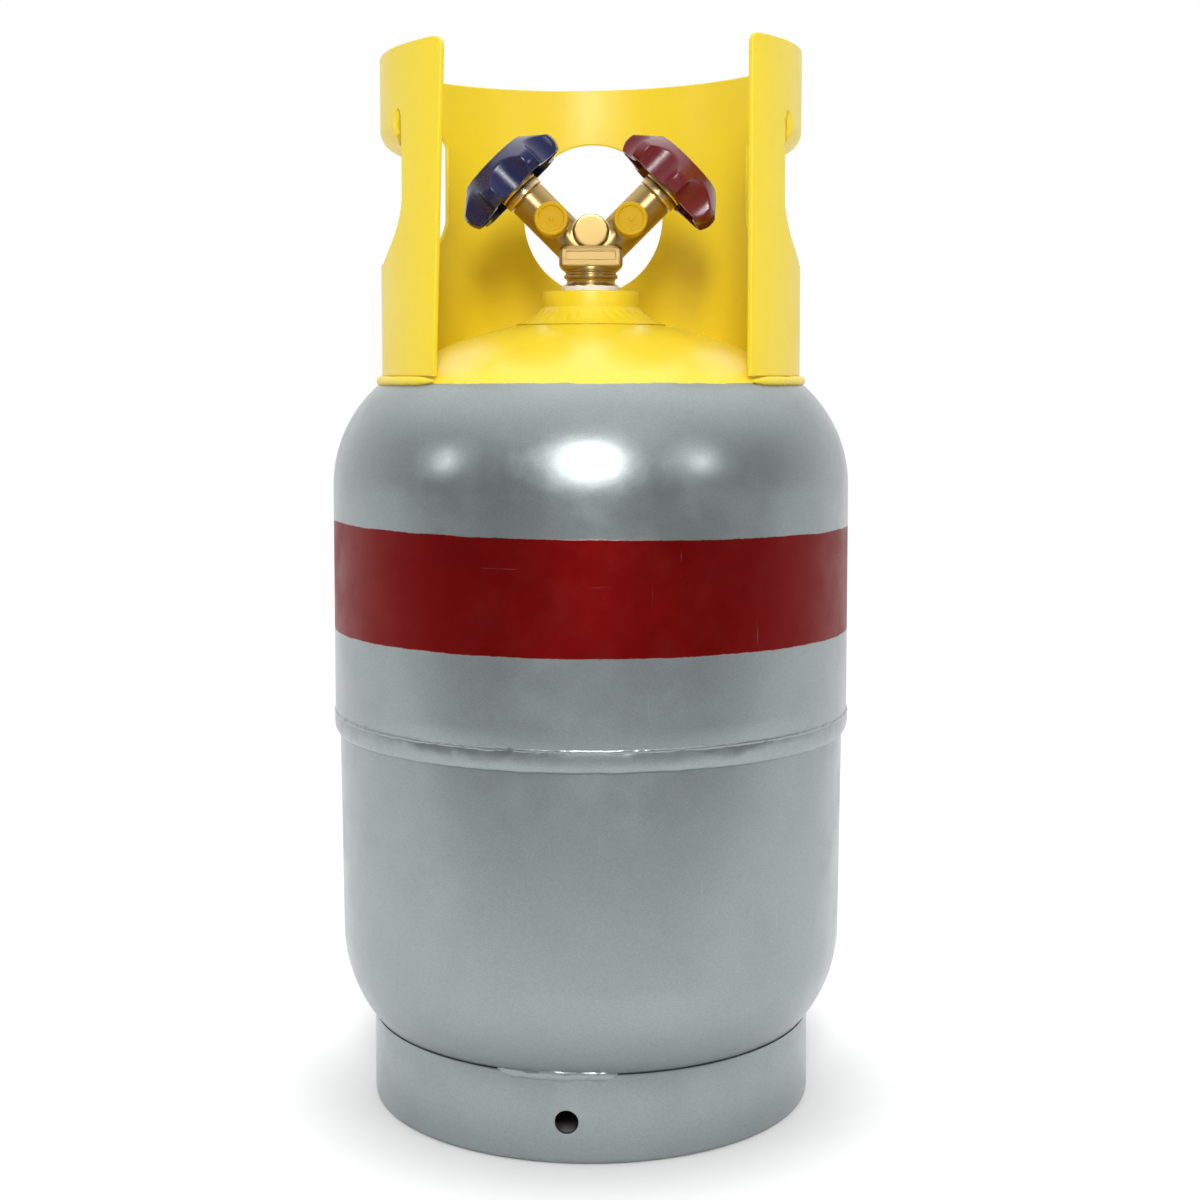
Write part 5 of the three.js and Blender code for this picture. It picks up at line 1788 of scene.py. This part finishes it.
@dataclass(frozen=True)
class SoftBox:
    """One soft area light aimed at a point, in metres."""

    name: str
    place: tuple[float, float, float]
    aim: tuple[float, float, float]
    size: tuple[float, float]
    watts: float

    def build(self) -> None:
        """Add the light."""
        light = bpy.data.lights.new(self.name, "AREA")
        light.shape = "RECTANGLE"
        light.size, light.size_y = self.size
        light.energy = self.watts
        obj = bpy.data.objects.new(self.name, light)
        obj.location = self.place
        obj.rotation_euler = (Vector(self.aim) - Vector(self.place)).to_track_quat("-Z", "Y").to_euler()
        bpy.context.scene.collection.objects.link(obj)


@dataclass
class Studio:
    """Pale floor with painted glow, soft studio light and the camera."""

    camera_place: tuple[float, float, float] = (0.0, -0.8727, 0.3259)
    pitch_down: float = 4.01
    yaw_right: float = 0.27
    lens: float = 57.39
    shift_y: float = -0.0727
    world_back: float = 1.0
    world_front: float = 0.12
    world_top: float = 0.95
    # strength of the floor's painted glow, light that the floor gives off in its own colour
    floor_painted_glow: float = 0.29
    # floor colours, which are also the colours of its painted glow: lighter near the cylinder, painted darker
    # towards the front
    floor_near: Colour = (0.76, 0.76, 0.76, 1)
    floor_far: Colour = (0.28, 0.28, 0.28, 1)
    lights: tuple[SoftBox, ...] = (
        SoftBox("key", (-0.01, -1.5, 0.98), (0, 0, 0.28), (0.26, 0.50), 19.0),
        SoftBox("left", (-1.30, -0.58, 0.80), (0, 0, 0.28), (0.12, 0.36), 1.3),
        SoftBox("right", (1.03, -0.93, 0.86), (0, 0, 0.28), (0.12, 0.36), 1.7),
        SoftBox("crown", (0.0, 0.15, 1.7), (0, 0, 0.3), (1.2, 1.0), 0.6),
    )

    def build(self) -> None:
        """Build the floor, world, lights and camera."""
        self._floor()
        self._world()
        for light in self.lights:
            light.build()
        data = bpy.data.cameras.new("camera")
        data.lens = self.lens
        data.sensor_width = 36.0
        data.shift_y = self.shift_y
        camera = bpy.data.objects.new("camera", data)
        camera.location = self.camera_place
        camera.rotation_euler = Euler((math.radians(90 - self.pitch_down), 0, -math.radians(self.yaw_right)))
        bpy.context.scene.collection.objects.link(camera)
        bpy.context.scene.camera = camera
        bpy.context.scene.view_settings.view_transform = "Standard"

    def _floor(self) -> None:
        """A wide pale floor with painted light: it glows in its own colour near the cylinder but not at the
        cylinder's foot, where the contact shadow stays, and towards the front it is painted darker.
        """
        shape = bmesh.new()
        bmesh.ops.create_grid(shape, x_segments=1, y_segments=1, size=12.0)
        mesh = as_mesh("floor", shape)
        floor = bpy.data.objects.new("floor", mesh)
        bpy.context.scene.collection.objects.link(floor)
        material = bpy.data.materials.new("floor_with_painted_light")
        material.use_nodes = True
        surface = material.node_tree.nodes["Principled BSDF"]
        shader = Shader(material.node_tree)
        at = shader.node("TexCoord").outputs["Object"]
        place = shader.node("SeparateXYZ")
        shader.feed(place.inputs[0], at)
        reach = shader.node("VectorMath", operation="LENGTH")
        shader.feed(reach.inputs[0], at)
        # painted light: the floor is lighter and glows near the cylinder, and is painted darker towards the
        # front
        near = shader.ramp(place.outputs["Y"], -0.75, -0.17)
        tone = shader.mix(near, self.floor_far, self.floor_near)
        shader.feed(surface.inputs["Base Color"], tone)
        surface.inputs["Roughness"].default_value = 0.8
        shader.feed(surface.inputs["Emission Color"], tone)
        # painted glow kept off under and next to the cylinder's foot, so the contact shadow stays
        clear = shader.ramp(reach.outputs["Value"], 0.10, 0.17)
        glow = shader.math("MULTIPLY", shader.math("MULTIPLY", clear, near), self.floor_painted_glow)
        shader.feed(surface.inputs["Emission Strength"], glow)
        mesh.materials.append(material)

    def _world(self) -> None:
        """White surroundings that are dimmer on the camera's side."""
        world = bpy.data.worlds.new("surroundings")
        world.use_nodes = True
        bpy.context.scene.world = world
        world.node_tree.nodes.clear()
        shader = Shader(world.node_tree)
        direction = shader.node("SeparateXYZ")
        shader.feed(direction.inputs[0], shader.node("TexCoord").outputs["Generated"])
        level = shader.ramp(direction.outputs["Y"], -0.65, 0.88, self.world_front, self.world_back)
        glow = shader.math("ADD", level, shader.ramp(direction.outputs["Z"], 0.35, 1.0, 0.0, self.world_top))
        background = shader.node("Background")
        shader.feed(background.inputs["Strength"], glow)
        background.inputs["Color"].default_value = (1, 1, 1, 1)
        output = shader.node("OutputWorld")
        shader.feed(output.inputs["Surface"], background.outputs[0])


def main() -> None:
    logging.basicConfig(level=logging.INFO, format="%(name)s %(message)s")
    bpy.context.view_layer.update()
    vessel = Vessel()
    valve = YValve()
    assemblies = (
        vessel,
        FootRing(vessel=vessel),
        Guard(vessel=vessel),
        valve,
        ArmSet(side=Side.VAPOR, valve=valve),
        ArmSet(side=Side.LIQUID, valve=valve, wheel_turn=-83.0, wheel_body=Body.LIQUID_WHEEL,
               cap_body=Body.LIQUID_CAP),
        ReliefValve(),
        HiddenPieces(),
        Studio(),
    )
    for assembly in assemblies:
        assembly.build()


if __name__ == "__main__":
    main()
